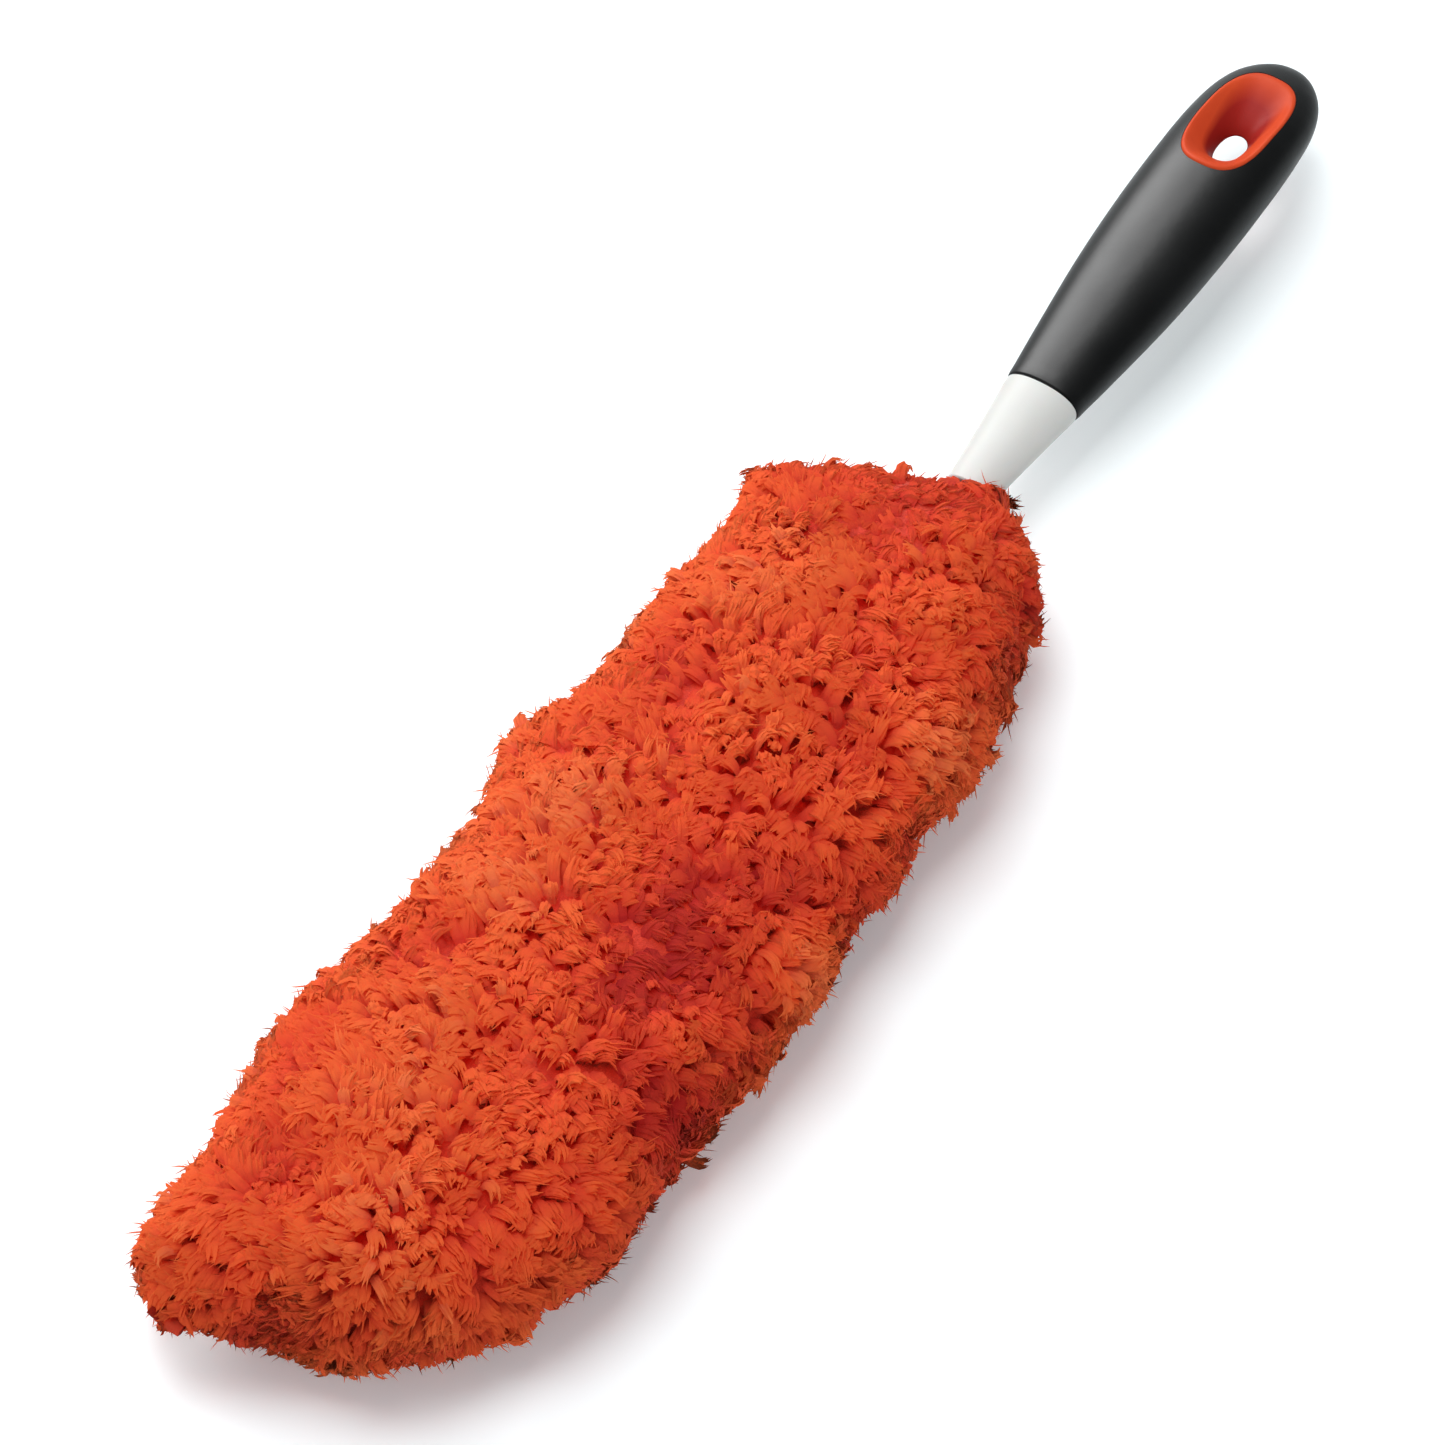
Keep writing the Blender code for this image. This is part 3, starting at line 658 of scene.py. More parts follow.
def moulded_orange():
    n = Nodes("moulded_orange", Roughness=0.4)
    n.set("Specular IOR Level", 0.025)
    where = n.coords()
    cloud = n.noise(where, 140.0, 3.0)
    lip = n.ramp(cloud, [(0.25, (0.54, 0.056, 0.017)), (0.75, (0.60, 0.070, 0.022))])
    # painted shade: the funnel is coloured a darker red than its lip, darkest deep in the hole near the grip's mid
    # height
    parts = n.add("ShaderNodeSeparateXYZ")
    n.link(where, parts.inputs[0])
    off = n.maths("ABSOLUTE", n.maths("SUBTRACT", parts.outputs["Z"], AXIS_Z * MM))
    n.drive("Base Color", n.mix(n.ramp(n.maths("MULTIPLY", off, 100.0), [(0.60, 0.0), (0.80, 1.0)]), (0.29, 0.015, 0.011), lip))
    n.drive("Roughness", n.ramp(n.noise(where, 420.0, 3.0), [(0.3, 0.36), (0.7, 0.48)]))
    n.drive("Normal", n.bump(n.noise(where, 2200.0, 2.0), 0.00003, 0.5))
    return n


def build_liner():
    columns = []
    for i in range(RING_HIGH):
        angle = 2 * math.pi * (i + 0.5) / RING_HIGH
        face, hidden = liner_profiles(angle, LINER_WALL, 3)
        top, low = face[0], face[-1]
        rows = list(face)
        rows += [(low[0], low[1] - 0.05, low[2] + 0.95)]
        rows += hidden[::-1]
        rows += [(top[0], top[1] - 0.05, top[2] - 0.95)]
        columns.append([place(row, angle) for row in rows])
    count = len(columns[0])
    verts = [p for c in columns for p in c]
    faces = []
    for i in range(RING_HIGH):
        j = (i + 1) % RING_HIGH
        for k in range(count):
            m = (k + 1) % count
            faces.append((i * count + k, j * count + k, j * count + m, i * count + m))
    liner = face_out(mesh_object("hang_hole_rim", verts, faces))
    return dress(liner, "handle", moulded_orange(), "hang_hole_liner", slot="orange_plastic")


def moulded_white(name="moulded_white", tone=(0.575, 0.575, 0.55), rough=(0.30, 0.40)):
    n = Nodes(name, Roughness=0.34)
    n.set("Specular IOR Level", 0.06)
    n.set("Subsurface Weight", 0.12)
    n.set("Subsurface Scale", 0.002)
    where = n.coords()
    cloud = n.noise(where, 70.0, 4.0)
    dark = tuple(c * 0.955 for c in tone)
    flow = n.noise(n.coords((0.35, 1.0, 1.0)), 260.0, 3.0, 0.5, 0.6)
    n.drive("Base Color", n.mix(n.ramp(flow, [(0.45, 0.0), (0.8, 0.35)]), n.ramp(cloud, [(0.25, dark), (0.75, tone)]), dark))
    n.drive("Roughness", n.ramp(n.noise(where, 330.0, 3.0), [(0.3, rough[0]), (0.7, rough[1])]))
    n.drive("Normal", n.bump(n.noise(where, 1900.0, 2.0), 0.00002, 0.4))
    return n


def rounded_box(a, b, r, count=4):
    out = []
    for cx, cy, start in ((a - r, b - r, 0), (r - a, b - r, 90), (r - a, r - b, 180), (a - r, r - b, 270)):
        for i in range(count + 1):
            t = math.radians(start + 90 * i / count)
            out.append((cx + r * math.cos(t), cy + r * math.sin(t)))
    return out


def build_neck():
    """Oval neck with its socket, the hidden tang and the eyelet."""
    xs = [67.95, 68.5] + list(np.arange(69.5, SEAM_X - 0.7, 1.2)) + [SEAM_X - 0.6, SEAM_X - 0.4, SEAM_X - 0.15]
    loops = [section(67.5, 6.0, 4.15, NECK_SQUARE, 120), section(67.56, 6.32, 4.44, NECK_SQUARE, 120), section(67.72, 6.58, 4.69, NECK_SQUARE, 120)]
    loops += [section(x, a, b, NECK_SQUARE, 120) for x, (a, b) in zip(xs, smooth_rows(NECK_ROWS, xs))]
    neck = loft("neck_core", loops)
    combine(neck, tang_body("tang", 0.0, SEAM_X - 5.0), "UNION")
    slot = rounded_box(4.3, 1.9, 0.8)
    combine(neck, loft("cut", [[(x, y, AXIS_Z + z) for y, z in slot] for x in (60.0, 118.0)], False), "DIFFERENCE")
    hole = ring(1.25, 1.25, 2, 20)
    combine(neck, prism("cut", [(112.0 + x, y) for x, y in hole], AXIS_Z - 8, AXIS_Z + 8), "DIFFERENCE")
    outer_normals(neck, form_slope(NECK_ROWS, NECK_SQUARE))
    return dress(neck, "handle", moulded_white(), "handle_core", slot="white_plastic")


build_neck()
build_grip()
build_liner()

# ---------------------------------------------------------------- blade, its root and its pin

BLADE_HALF = 22.0
BLADE_TIP_X = -204.0
BACK_HALF = 26.0
BACK_REAR_X = 44.0
BACK_TIP_X = -209.0
CUFF_X0, CUFF_X1 = 44.3, 53.6


def blade_outline(half, tip_x, rear, count=22):
    points = list(rear)
    for i in range(count + 1):
        t = math.pi / 2 * i / count
        points.append((tip_x + 30.0 - 30.0 * math.sin(t), half * max(math.cos(t), 0.0) ** 0.85))
    return points


def mirrored(points):
    return [(x, y) for x, y in points] + [(x, -y) for x, y in reversed(points) if abs(y) > 1e-6]


def soften(obj, width, segments=2, angle=40.0):
    """Rounds the edges of a piece for good."""
    mod = obj.modifiers.new("edges", "BEVEL")
    mod.width = width * MM
    mod.segments = segments
    mod.limit_method = "ANGLE"
    mod.angle_limit = math.radians(angle)
    mod.harden_normals = False
    bpy.context.view_layer.update()
    made = bpy.data.meshes.new_from_object(obj.evaluated_get(bpy.context.evaluated_depsgraph_get()))
    obj.modifiers.clear()
    old = obj.data
    obj.data = made
    bpy.data.meshes.remove(old)
    made.name = obj.name
    made.polygons.foreach_set("use_smooth", [True] * len(made.polygons))
    flat = np.zeros(len(made.polygons) * 3)
    made.polygons.foreach_get("normal", flat)
    area = np.zeros(len(made.polygons))
    made.polygons.foreach_get("area", area)
    flat = flat.reshape(-1, 3) * area[:, None]
    corner = np.zeros(len(made.loops), np.int32)
    made.loops.foreach_get("vertex_index", corner)
    count = np.zeros(len(made.polygons), np.int32)
    made.polygons.foreach_get("loop_total", count)
    total = np.zeros((len(made.vertices), 3))
    np.add.at(total, corner, np.repeat(flat, count, axis=0))
    total /= np.maximum(np.linalg.norm(total, axis=1, keepdims=True), 1e-15)
    made.normals_split_custom_set_from_vertices(total.tolist())
    return obj


def flexible_plastic():
    n = Nodes("flexible_plastic", Roughness=0.42)
    n.set("Specular IOR Level", 0.15)
    n.set("Subsurface Weight", 0.1)
    n.set("Subsurface Scale", 0.002)
    where = n.coords()
    cloud = n.noise(where, 45.0, 4.0)
    flow = n.noise(n.coords((0.25, 1.0, 1.0)), 320.0, 3.0, 0.5, 0.8)
    n.drive("Base Color", n.mix(n.ramp(flow, [(0.4, 0.0), (0.8, 0.4)]), n.ramp(cloud, [(0.3, (0.43, 0.43, 0.41)), (0.7, (0.49, 0.49, 0.465))]), (0.39, 0.39, 0.365)))
    n.drive("Roughness", n.ramp(cloud, [(0.3, 0.36), (0.7, 0.5)]))
    n.drive("Normal", n.bump(n.noise(where, 1500.0, 2.0), 0.00003, 0.5))
    return n


def build_blade():
    rear = [(60.6, 6.3), (56.5, 8.0), (53.5, 11.5), (50.5, 15.6), (47.5, 18.9), (44.0, 21.0), (40.0, BLADE_HALF)]
    blade = prism("flex_blade", mirrored(blade_outline(BLADE_HALF, BLADE_TIP_X, rear)), AXIS_Z - 1.5, AXIS_Z + 1.5)
    for i in range(7):
        cx = 24.0 - i * 32.0
        slot = [(cx + x, y) for x, y in rounded_box(12.0, 15.0, 5.0, 6)]
        combine(blade, prism("cut", slot, AXIS_Z - 6, AXIS_Z + 6), "DIFFERENCE")
    plastic = flexible_plastic()
    dress(soften(blade, 0.55), "blade", plastic, "paddle_blade", slot="blade_plastic")

    # the thin place where the root bends, from the blade into the socket
    loops = []
    for x in np.concatenate([[60.2], np.linspace(60.5, 69.0, 18), [69.2]]):
        wide = np.interp(x, [60.2, 62.0, 65.0, 67.0, 69.2], [6.2, 5.8, 4.6, 3.95, 3.95])
        thick = np.interp(x, [60.2, 62.0, 64.0, 66.0, 67.5, 69.2], [1.45, 1.3, 0.95, 0.95, 1.35, 1.5])
        thick += 0.12 * math.sin(x * math.pi) ** 2 if 62.5 < x < 67.0 else 0.0
        shrink = 0.3 if x in (60.2, 69.2) else 0.0
        loops.append([(x, y, AXIS_Z + z) for y, z in rounded_box(wide - shrink, thick - shrink, (thick - shrink) * 0.7, 3)])
    root = loft("blade_root_strip", loops)
    dress(root, None, plastic, "paddle_blade", slot="blade_plastic")
    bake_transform(root)

    outline = rounded_box(4.0, 1.6, 0.6, 3)
    plug = loft("root_plug", [[(x, y, AXIS_Z + z) for y, z in outline] for x in (69.4, 117.0)], False)
    hole = ring(1.25, 1.25, 2, 24)
    combine(plug, prism("cut", [(112.0 + x, y) for x, y in hole], AXIS_Z - 6, AXIS_Z + 6), "DIFFERENCE")
    dress(soften(plug, 0.2, 1), "handle", plastic, "blade_plug", slot="blade_plastic")


def brushed_steel():
    n = Nodes("brushed_steel", Roughness=0.3, Metallic=1.0)
    turned = n.noise(n.coords((1.0, 1.0, 14.0)), 900.0, 3.0)
    n.drive("Base Color", n.ramp(turned, [(0.3, (0.50, 0.50, 0.51)), (0.7, (0.62, 0.62, 0.63))]))
    n.drive("Roughness", n.ramp(turned, [(0.3, 0.24), (0.7, 0.38)]))
    n.drive("Normal", n.bump(turned, 0.00001, 0.5))
    return n


def dress_pin():
    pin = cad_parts["plug_pin"]
    steel = brushed_steel()
    if pin.data.materials:
        for i in range(len(pin.data.materials)):
            pin.data.materials[i] = steel.mat
    else:
        pin.data.materials.append(steel.mat)


# ---------------------------------------------------------------- sleeve: its fabric under the pile


def knit(name, dark, light, wale, course, depth=0.00014):
    """Knitted or woven cloth: rows one way and ribs the other, with fuzz over both."""
    n = Nodes(name, Roughness=0.86)
    n.set("Specular IOR Level", 0.2)
    n.set("Sheen Weight", 0.3)
    n.set("Sheen Roughness", 0.5)
    n.set("Sheen Tint", tuple(min(1.0, c * 1.2 + 0.25) for c in light))
    where = n.coords()
    rows = n.add("ShaderNodeTexWave", wave_type="BANDS", bands_direction="X", wave_profile="SIN")
    ribs = n.add("ShaderNodeTexWave", wave_type="BANDS", bands_direction="Y", wave_profile="SIN")
    for node, scale in ((rows, wale), (ribs, course)):
        node.inputs["Scale"].default_value = scale
        node.inputs["Distortion"].default_value = 0.7
        node.inputs["Detail"].default_value = 1.0
        node.inputs["Detail Scale"].default_value = 2.0
        n.link(where, node.inputs["Vector"])
    cloth = n.maths("MULTIPLY", rows.outputs["Fac"], ribs.outputs["Fac"])
    fuzz = n.noise(where, 1400.0, 3.0, 0.6)
    patch = n.noise(where, 60.0, 3.0)
    base = n.mix(n.ramp(cloth, [(0.05, 0.0), (0.6, 1.0)]), dark, light)
    base = n.mix(n.ramp(patch, [(0.35, 0.0), (0.7, 0.3)]), base, n.mix(1.0, base, (0.8, 0.72, 0.7), "MULTIPLY"))
    n.drive("Base Color", base)
    n.drive("Roughness", n.ramp(fuzz, [(0.3, 0.78), (0.7, 0.92)]))
    n.drive("Normal", n.bump(cloth, depth, 0.7, n.bump(fuzz, 0.00006, 0.4)))
    return n


def backing_outline(inset=0.0, count=22):
    rear = [(BACK_REAR_X, BACK_HALF - 1.5 - inset), (BACK_REAR_X - 2.0, BACK_HALF - inset)]
    return blade_outline(BACK_HALF - inset, BACK_TIP_X + inset, rear, count)


def build_panels():
    cloth = knit("backing_knit", (0.26, 0.022, 0.010), (0.60, 0.062, 0.022), 95.0, 95.0)
    for name, node, side in (("backing_cloth_top", "backing_top", 1), ("backing_cloth_bottom", "backing_bottom", -1)):
        low, high = sorted((AXIS_Z + side * 1.9, AXIS_Z + side * 2.9))
        panel = soften(prism(name, mirrored(backing_outline()), low, high), 0.3, 2)
        dress(panel, "sleeve", cloth, node, slot="backing_fabric")


def build_tape():
    outer, inner = backing_outline(), backing_outline(2.7)
    outer = [(BACK_REAR_X - 2.0, BACK_HALF)] + outer[2:]
    inner = [(BACK_REAR_X - 2.0, BACK_HALF - 2.7)] + inner[2:]
    out = outer + [(x, -y) for x, y in reversed(outer) if y > 1e-6]
    back_in = inner + [(x, -y) for x, y in reversed(inner) if y > 1e-6]
    tape = soften(prism("seam_tape", out + back_in[::-1], AXIS_Z - 1.6, AXIS_Z + 1.6), 0.5, 2)
    dress(tape, "sleeve", knit("tape_twill", (0.20, 0.016, 0.008), (0.46, 0.045, 0.018), 160.0, 120.0), "edge_binding", slot="binding_fabric")


def ring_run(a, b, count):
    """Points evenly spaced round a flat rounded outline, and its outward normals."""
    path = np.array(rounded_box(a, b, b - 0.05, 12))
    closed = np.vstack([path, path[:1]])
    run = np.concatenate([[0], np.cumsum(np.linalg.norm(np.diff(closed, axis=0), axis=1))])
    at = np.arange(count) / count * run[-1]
    pts = np.stack([np.interp(at, run, closed[:, i]) for i in range(2)], 1)
    tangent = np.roll(pts, -1, 0) - np.roll(pts, 1, 0)
    tangent /= np.linalg.norm(tangent, axis=1)[:, None]
    return pts, np.stack([tangent[:, 1], -tangent[:, 0]], 1)


def soft_ring(name, profile, count, ripple, folds):
    """A closed ring of cloth round the mouth. profile gives (x, outline, move out) all the way round the section."""
    loops = []
    for x, (a, b), out, gather in profile:
        pts, normal = ring_run(a, b, count)
        wave = np.sin(2 * math.pi * folds * np.arange(count) / count + 0.7 * np.sin(np.arange(count) * 0.21))
        pts = pts + normal * (out + ripple * gather * wave)[:, None] if np.ndim(wave) else pts
        loops.append([(x + 0.25 * ripple * gather * w, y, AXIS_Z + z) for (y, z), w in zip(pts, wave)])
    verts = [p for loop in loops for p in loop]
    faces = []
    for k in range(len(loops)):
        m = (k + 1) % len(loops)
        for i in range(count):
            j = (i + 1) % count
            faces.append((k * count + i, k * count + j, m * count + j, m * count + i))
    return face_out(mesh_object(name, verts, faces))


def build_hem():
    cuff_out, cuff_in, groove = (27.0, 5.2), (23.2, 2.3), (25.6, 4.0)
    x0, x1 = CUFF_X0, CUFF_X1
    g0, g1 = x0 + 2.1, x1 - 2.0
    profile = [
        (x0 + 0.05, cuff_in, 0.5, 0.2), (x0 + 0.02, cuff_out, -1.3, 0.4), (x0 + 0.25, cuff_out, -0.55, 0.6),
        (x0 + 1.2, cuff_out, -0.35, 0.8), (x0 + 2.6, cuff_out, -0.55, 1.0), (x0 + 4.6, cuff_out, -0.35, 1.0),
        (x1 - 2.6, cuff_out, -0.55, 1.0), (x1 - 1.2, cuff_out, -0.35, 0.8), (x1 - 0.25, cuff_out, -0.55, 0.6),
        (x1 - 0.02, cuff_out, -1.3, 0.4), (x1 - 0.05, cuff_in, 0.5, 0.2), (x1 - 0.4, cuff_in, 0.05, 0.0),
        (g1 + 0.3, cuff_in, 0.0, 0.0), (g1, cuff_in, 0.25, 0.0), (g1, groove, 0.0, 0.0), (g0, groove, 0.0, 0.0),
        (g0, cuff_in, 0.25, 0.0), (g0 - 0.3, cuff_in, 0.0, 0.0), (x0 + 0.4, cuff_in, 0.05, 0.0),
    ]
    hem = soft_ring("mouth_hem", profile, 220, 0.3, 34)
    dress(hem, "sleeve", knit("hem_cloth", (0.22, 0.018, 0.009), (0.50, 0.050, 0.020), 150.0, 150.0), "cuff_casing", slot="backing_fabric")

    outer, inner = (25.3, 3.7), (23.8, 2.65)
    e0, e1 = g0 + 0.4, g1 - 0.4
    profile = [(e0, inner, 0.1, 0.0), (e0, outer, -0.1, 0.3)]
    profile += [(x, outer, -0.04 + 0.04 * math.cos(8 * math.pi * (x - e0) / (e1 - e0)), 1.0) for x in np.linspace(e0 + 0.2, e1 - 0.2, 9)]
    profile += [(e1, outer, -0.1, 0.3), (e1, inner, 0.1, 0.0)]
    band = soft_ring("mouth_elastic", profile, 220, 0.05, 60)
    dress(band, "sleeve", knit("elastic_weave", (0.42, 0.41, 0.38), (0.66, 0.65, 0.61), 260.0, 130.0), "elastic_band", slot="elastic_fabric")


build_blade()
dress_pin()
build_panels()
build_tape()
build_hem()

# ---------------------------------------------------------------- pile: its outer form

PILE_ROWS = [
    (-235.0, 31.0, 0.0, 0.0),
    (-234.0, 31.0, 5.5, 4.5),
    (-232.0, 30.5, 10.5, 8.6),
    (-228.5, 28.5, 17.5, 13.0),
    (-225.0, 27.4, 21.6, 16.2),
    (-221.0, 24.4, 25.2, 19.0),
    (-216.5, 19.4, 30.4, 21.6),
    (-210.0, 14.4, 35.4, 24.2),
    (-200.0, 10.0, 39.8, 26.4),
    (-188.0, 7.1, 45.0, 27.6),
    (-174.0, 5.0, 49.8, 28.2),
    (-162.0, 3.6, 52.4, 28.4),
    (-150.0, 3.2, 52.4, 28.4),
    (-138.0, 2.2, 51.0, 28.3),
    (-126.0, 1.2, 50.0, 28.2),
    (-100.0, 0.6, 49.2, 28.0),
    (-84.0, 1.4, 49.0, 27.9),
    (-73.0, 4.0, 50.4, 27.8),
    (-64.0, 5.8, 50.8, 27.8),
    (-55.0, 4.6, 49.6, 27.8),
    (-47.0, 2.6, 48.4, 27.8),
    (-36.0, 0.8, 46.8, 27.8),
    (-25.0, 0.4, 46.2, 27.8),
    (-12.0, 0.0, 47.0, 27.8),
    (15.0, 0.6, 46.1, 27.8),
    (27.0, 3.2, 44.4, 27.4),
    (33.0, 5.2, 44.4, 27.0),
    (37.5, 6.6, 44.0, 26.4),
    (42.5, 2.6, 42.4, 25.2),
    (50.0, -0.9, 34.8, 22.4),
    (57.0, -3.4, 25.8, 19.0),
    (62.5, -5.0, 16.4, 15.4),
    (66.5, -6.0, 10.6, 12.0),
    (69.5, -7.0, 7.0, 8.6),
    (71.5, -7.5, 4.6, 5.6),
]
PILE_SQUARE = 2.35
PILE_PRESS = 1.05
PILE_STEP = 2.85
TABLE_FROM = 3.0


def unit(v):
    return v / np.maximum(np.linalg.norm(v, axis=-1, keepdims=True), 1e-9)


def on_table(p):
    """The table presses everything below a height flat on itself."""
    p = p.copy()
    z = p[..., 2]
    p[..., 2] = np.where(z < TABLE_FROM, TABLE_FROM * np.exp((z - TABLE_FROM) / TABLE_FROM), z)
    return p


def smooth_fields(seed, scale, count, terms=16):
    """Smooth random functions of a point, mostly between -1 and 1, with features of the given size."""
    g = np.random.default_rng(seed)
    way = unit(g.normal(size=(count, terms, 3))) * (2 * math.pi / (scale * g.uniform(1.2, 2.6, (count, terms, 1))))
    phase = g.uniform(0, 2 * math.pi, (count, terms))

    def value(p):
        return np.cos(np.einsum("ctk,nk->nct", way, p) + phase).sum(-1) * 0.8 / math.sqrt(terms)

    return value


def form_normals(p, x, grow):
    """Outward normals of the outer form at points before the table presses them."""
    e = 0.25

    def value(q, at):
        mid, wide, high = smooth_rows(PILE_ROWS, np.clip(at, PILE_ROWS[0][0] + 0.02, PILE_ROWS[-1][0] - 0.01)).T
        high = high * np.where(q[:, 2] < AXIS_Z, PILE_PRESS, 1.0) + grow
        wide = wide + grow
        y = np.abs((q[:, 1] - mid) / np.maximum(wide, 0.3))
        z = np.abs((q[:, 2] - AXIS_Z) / np.maximum(high, 0.3))
        return (y**PILE_SQUARE + z**PILE_SQUARE) ** (1 / PILE_SQUARE)

    grad = np.empty_like(p)
    step = np.zeros(3)
    for axis in range(3):
        step[:] = 0
        step[axis] = e
        at = x + (e if axis == 0 else 0.0), x - (e if axis == 0 else 0.0)
        grad[:, axis] = value(p + step, at[0]) - value(p - step, at[1])
    grad[:, 2] /= np.where(p[:, 2] < TABLE_FROM, np.exp((p[:, 2] - TABLE_FROM) / TABLE_FROM), 1.0)
    return unit(grad)


def scatter(step, seed, grow=0.0, jitter=0.46):
    """Evenly spread places on the outer form, with their normals."""
    g = np.random.default_rng(seed)
    xs = np.linspace(PILE_ROWS[0][0] + 0.15, PILE_ROWS[-1][0] - 0.05, 4000)
    rows = smooth_rows(PILE_ROWS, xs)
    edges = np.stack([rows[:, 0] + rows[:, 1], rows[:, 0] - rows[:, 1], rows[:, 2]])
    steep = np.abs(np.diff(edges, axis=1)).max(0)
    run = np.concatenate([[0], np.cumsum(np.hypot(np.diff(xs), steep))])
    turn = np.linspace(0, 2 * math.pi, 361)
    places = []

    def on_form(x, t):
        f = smooth_rows(PILE_ROWS, x)
        c, sn = np.cos(t), np.sin(t)
        return np.stack([
            x,
            f[:, 0] + (f[:, 1] + grow) * sgn_pow(c, 2 / PILE_SQUARE),
            AXIS_Z + (f[:, 2] + grow) * np.where(sn < 0, PILE_PRESS, 1.0) * sgn_pow(sn, 2 / PILE_SQUARE),
        ], 1)

    for k, s in enumerate(np.arange(0.4 * step, run[-1], step)):
        x = float(np.interp(s, run, xs))
        mid, wide, high = smooth_rows(PILE_ROWS, [x])[0]
        y = (wide + grow) * sgn_pow(np.cos(turn), 2 / PILE_SQUARE)
        z = (high + grow) * np.where(np.sin(turn) < 0, PILE_PRESS, 1.0) * sgn_pow(np.sin(turn), 2 / PILE_SQUARE)
        arc = np.concatenate([[0], np.cumsum(np.hypot(np.diff(y), np.diff(z)))])
        n = max(int(round(arc[-1] / step)), 3)
        at = (np.arange(n) + g.uniform(0, 1) + jitter * g.uniform(-1, 1, n)) % n * arc[-1] / n
        along = np.clip(s + jitter * step * g.uniform(-1, 1, n), 0.0, run[-1])
        spot = np.interp(along, run, xs)
        t = np.interp(at, arc, turn)
        # rings stand closest where the form is steepest, and are thinned out elsewhere
        low, top = np.clip(spot - 0.2, xs[0], xs[-1]), np.clip(spot + 0.2, xs[0], xs[-1])
        reach = np.linalg.norm(on_form(top, t) - on_form(low, t), axis=1)
        ring = np.interp(top, xs, run) - np.interp(low, xs, run)
        kept = g.uniform(size=n) < reach / ring + 0.02
        places.append(on_form(spot, t)[kept])
    p = np.vstack(places)
    return p, form_normals(p, p[:, 0], grow)


def nearest(tree_points, points, how_many=1):
    tree = kdtree.KDTree(len(tree_points))
    for i, p in enumerate(tree_points):
        tree.insert(p, i)
    tree.balance()
    return np.array([[(i, d) for _, i, d in tree.find_n(p, how_many)] for p in points])


def neck_room(p, keep):
    """Points near the neck are moved out of it."""
    f = smooth_rows(NECK_ROWS, np.clip(p[..., 0].ravel(), 67.5, 80.0))
    a = f[:, 0].reshape(p.shape[:-1]) + keep
    b = f[:, 1].reshape(p.shape[:-1]) + keep
    y, z = p[..., 1], p[..., 2] - AXIS_Z
    r = np.sqrt((y / a) ** 2 + (z / b) ** 2)
    scale = np.where((p[..., 0] > 58.0) & (r < 1.0), 1.0 / np.maximum(r, 0.05), 1.0)
    out = p.copy()
    out[..., 1] = y * scale
    out[..., 2] = AXIS_Z + z * scale
    return out


# ---------------------------------------------------------------- pile: the dense ground under the locks

GROUND_UNDER = 7.0


def pile_pocket():
    """Room inside the pile for the panels, the hem, the blade sliding out, and the bending neck."""
    panel = mirrored(backing_outline(-GAP))
    yield prism("cut", [(min(x, BACK_REAR_X) if y else x, y) for x, y in panel], AXIS_Z - 3.2, AXIS_Z + 3.2)
    mouth = rounded_box(23.8, 2.5, 1.0, 3)
    yield loft("cut", [[(x, y, AXIS_Z + z) for y, z in mouth] for x in (CUFF_X1 - 1.17, 91.3)], False)
    cuff = rounded_box(27.3, 5.5, 5.2, 5)
    yield loft("cut", [[(x, y, AXIS_Z + z) for y, z in cuff] for x in (BACK_REAR_X - 1.4, CUFF_X1 + GAP)], False)
    loops = []
    for x in (CUFF_X1 - 2.0, 66.0, 72.0, 80.0):
        neck = smooth_rows(NECK_ROWS, [max(x, 67.5)])[0]
        swing = max(x - FLEX_X, 1.5) * math.tan(math.radians(20.0))
        loops.append([(x, y, AXIS_Z + z) for y, z in ring(neck[0] + 1.5, neck[1] + swing + 1.4, 2.4, 28, 0.07)])
    yield loft("cut", loops, False)


def ground_cloth():
    n = Nodes("pile_ground", Roughness=0.9)
    n.set("Specular IOR Level", 0.1)
    n.set("Sheen Weight", 0.2)
    n.set("Sheen Roughness", 0.6)
    n.set("Sheen Tint", (1.0, 0.5, 0.35))
    where = n.coords()
    fuzz = n.noise(where, 480.0, 4.0, 0.65)
    clump = n.noise(where, 150.0, 3.0)
    base = n.ramp(fuzz, [(0.3, (0.46, 0.022, 0.010)), (0.7, (0.70, 0.045, 0.018))])
    n.drive("Base Color", n.mix(n.ramp(clump, [(0.35, 0.0), (0.7, 0.5)]), base, (0.42, 0.020, 0.010)))
    n.drive("Roughness", n.ramp(clump, [(0.3, 0.84), (0.7, 0.95)]))
    n.drive("Normal", n.bump(fuzz, 0.0008, 0.8))
    return n


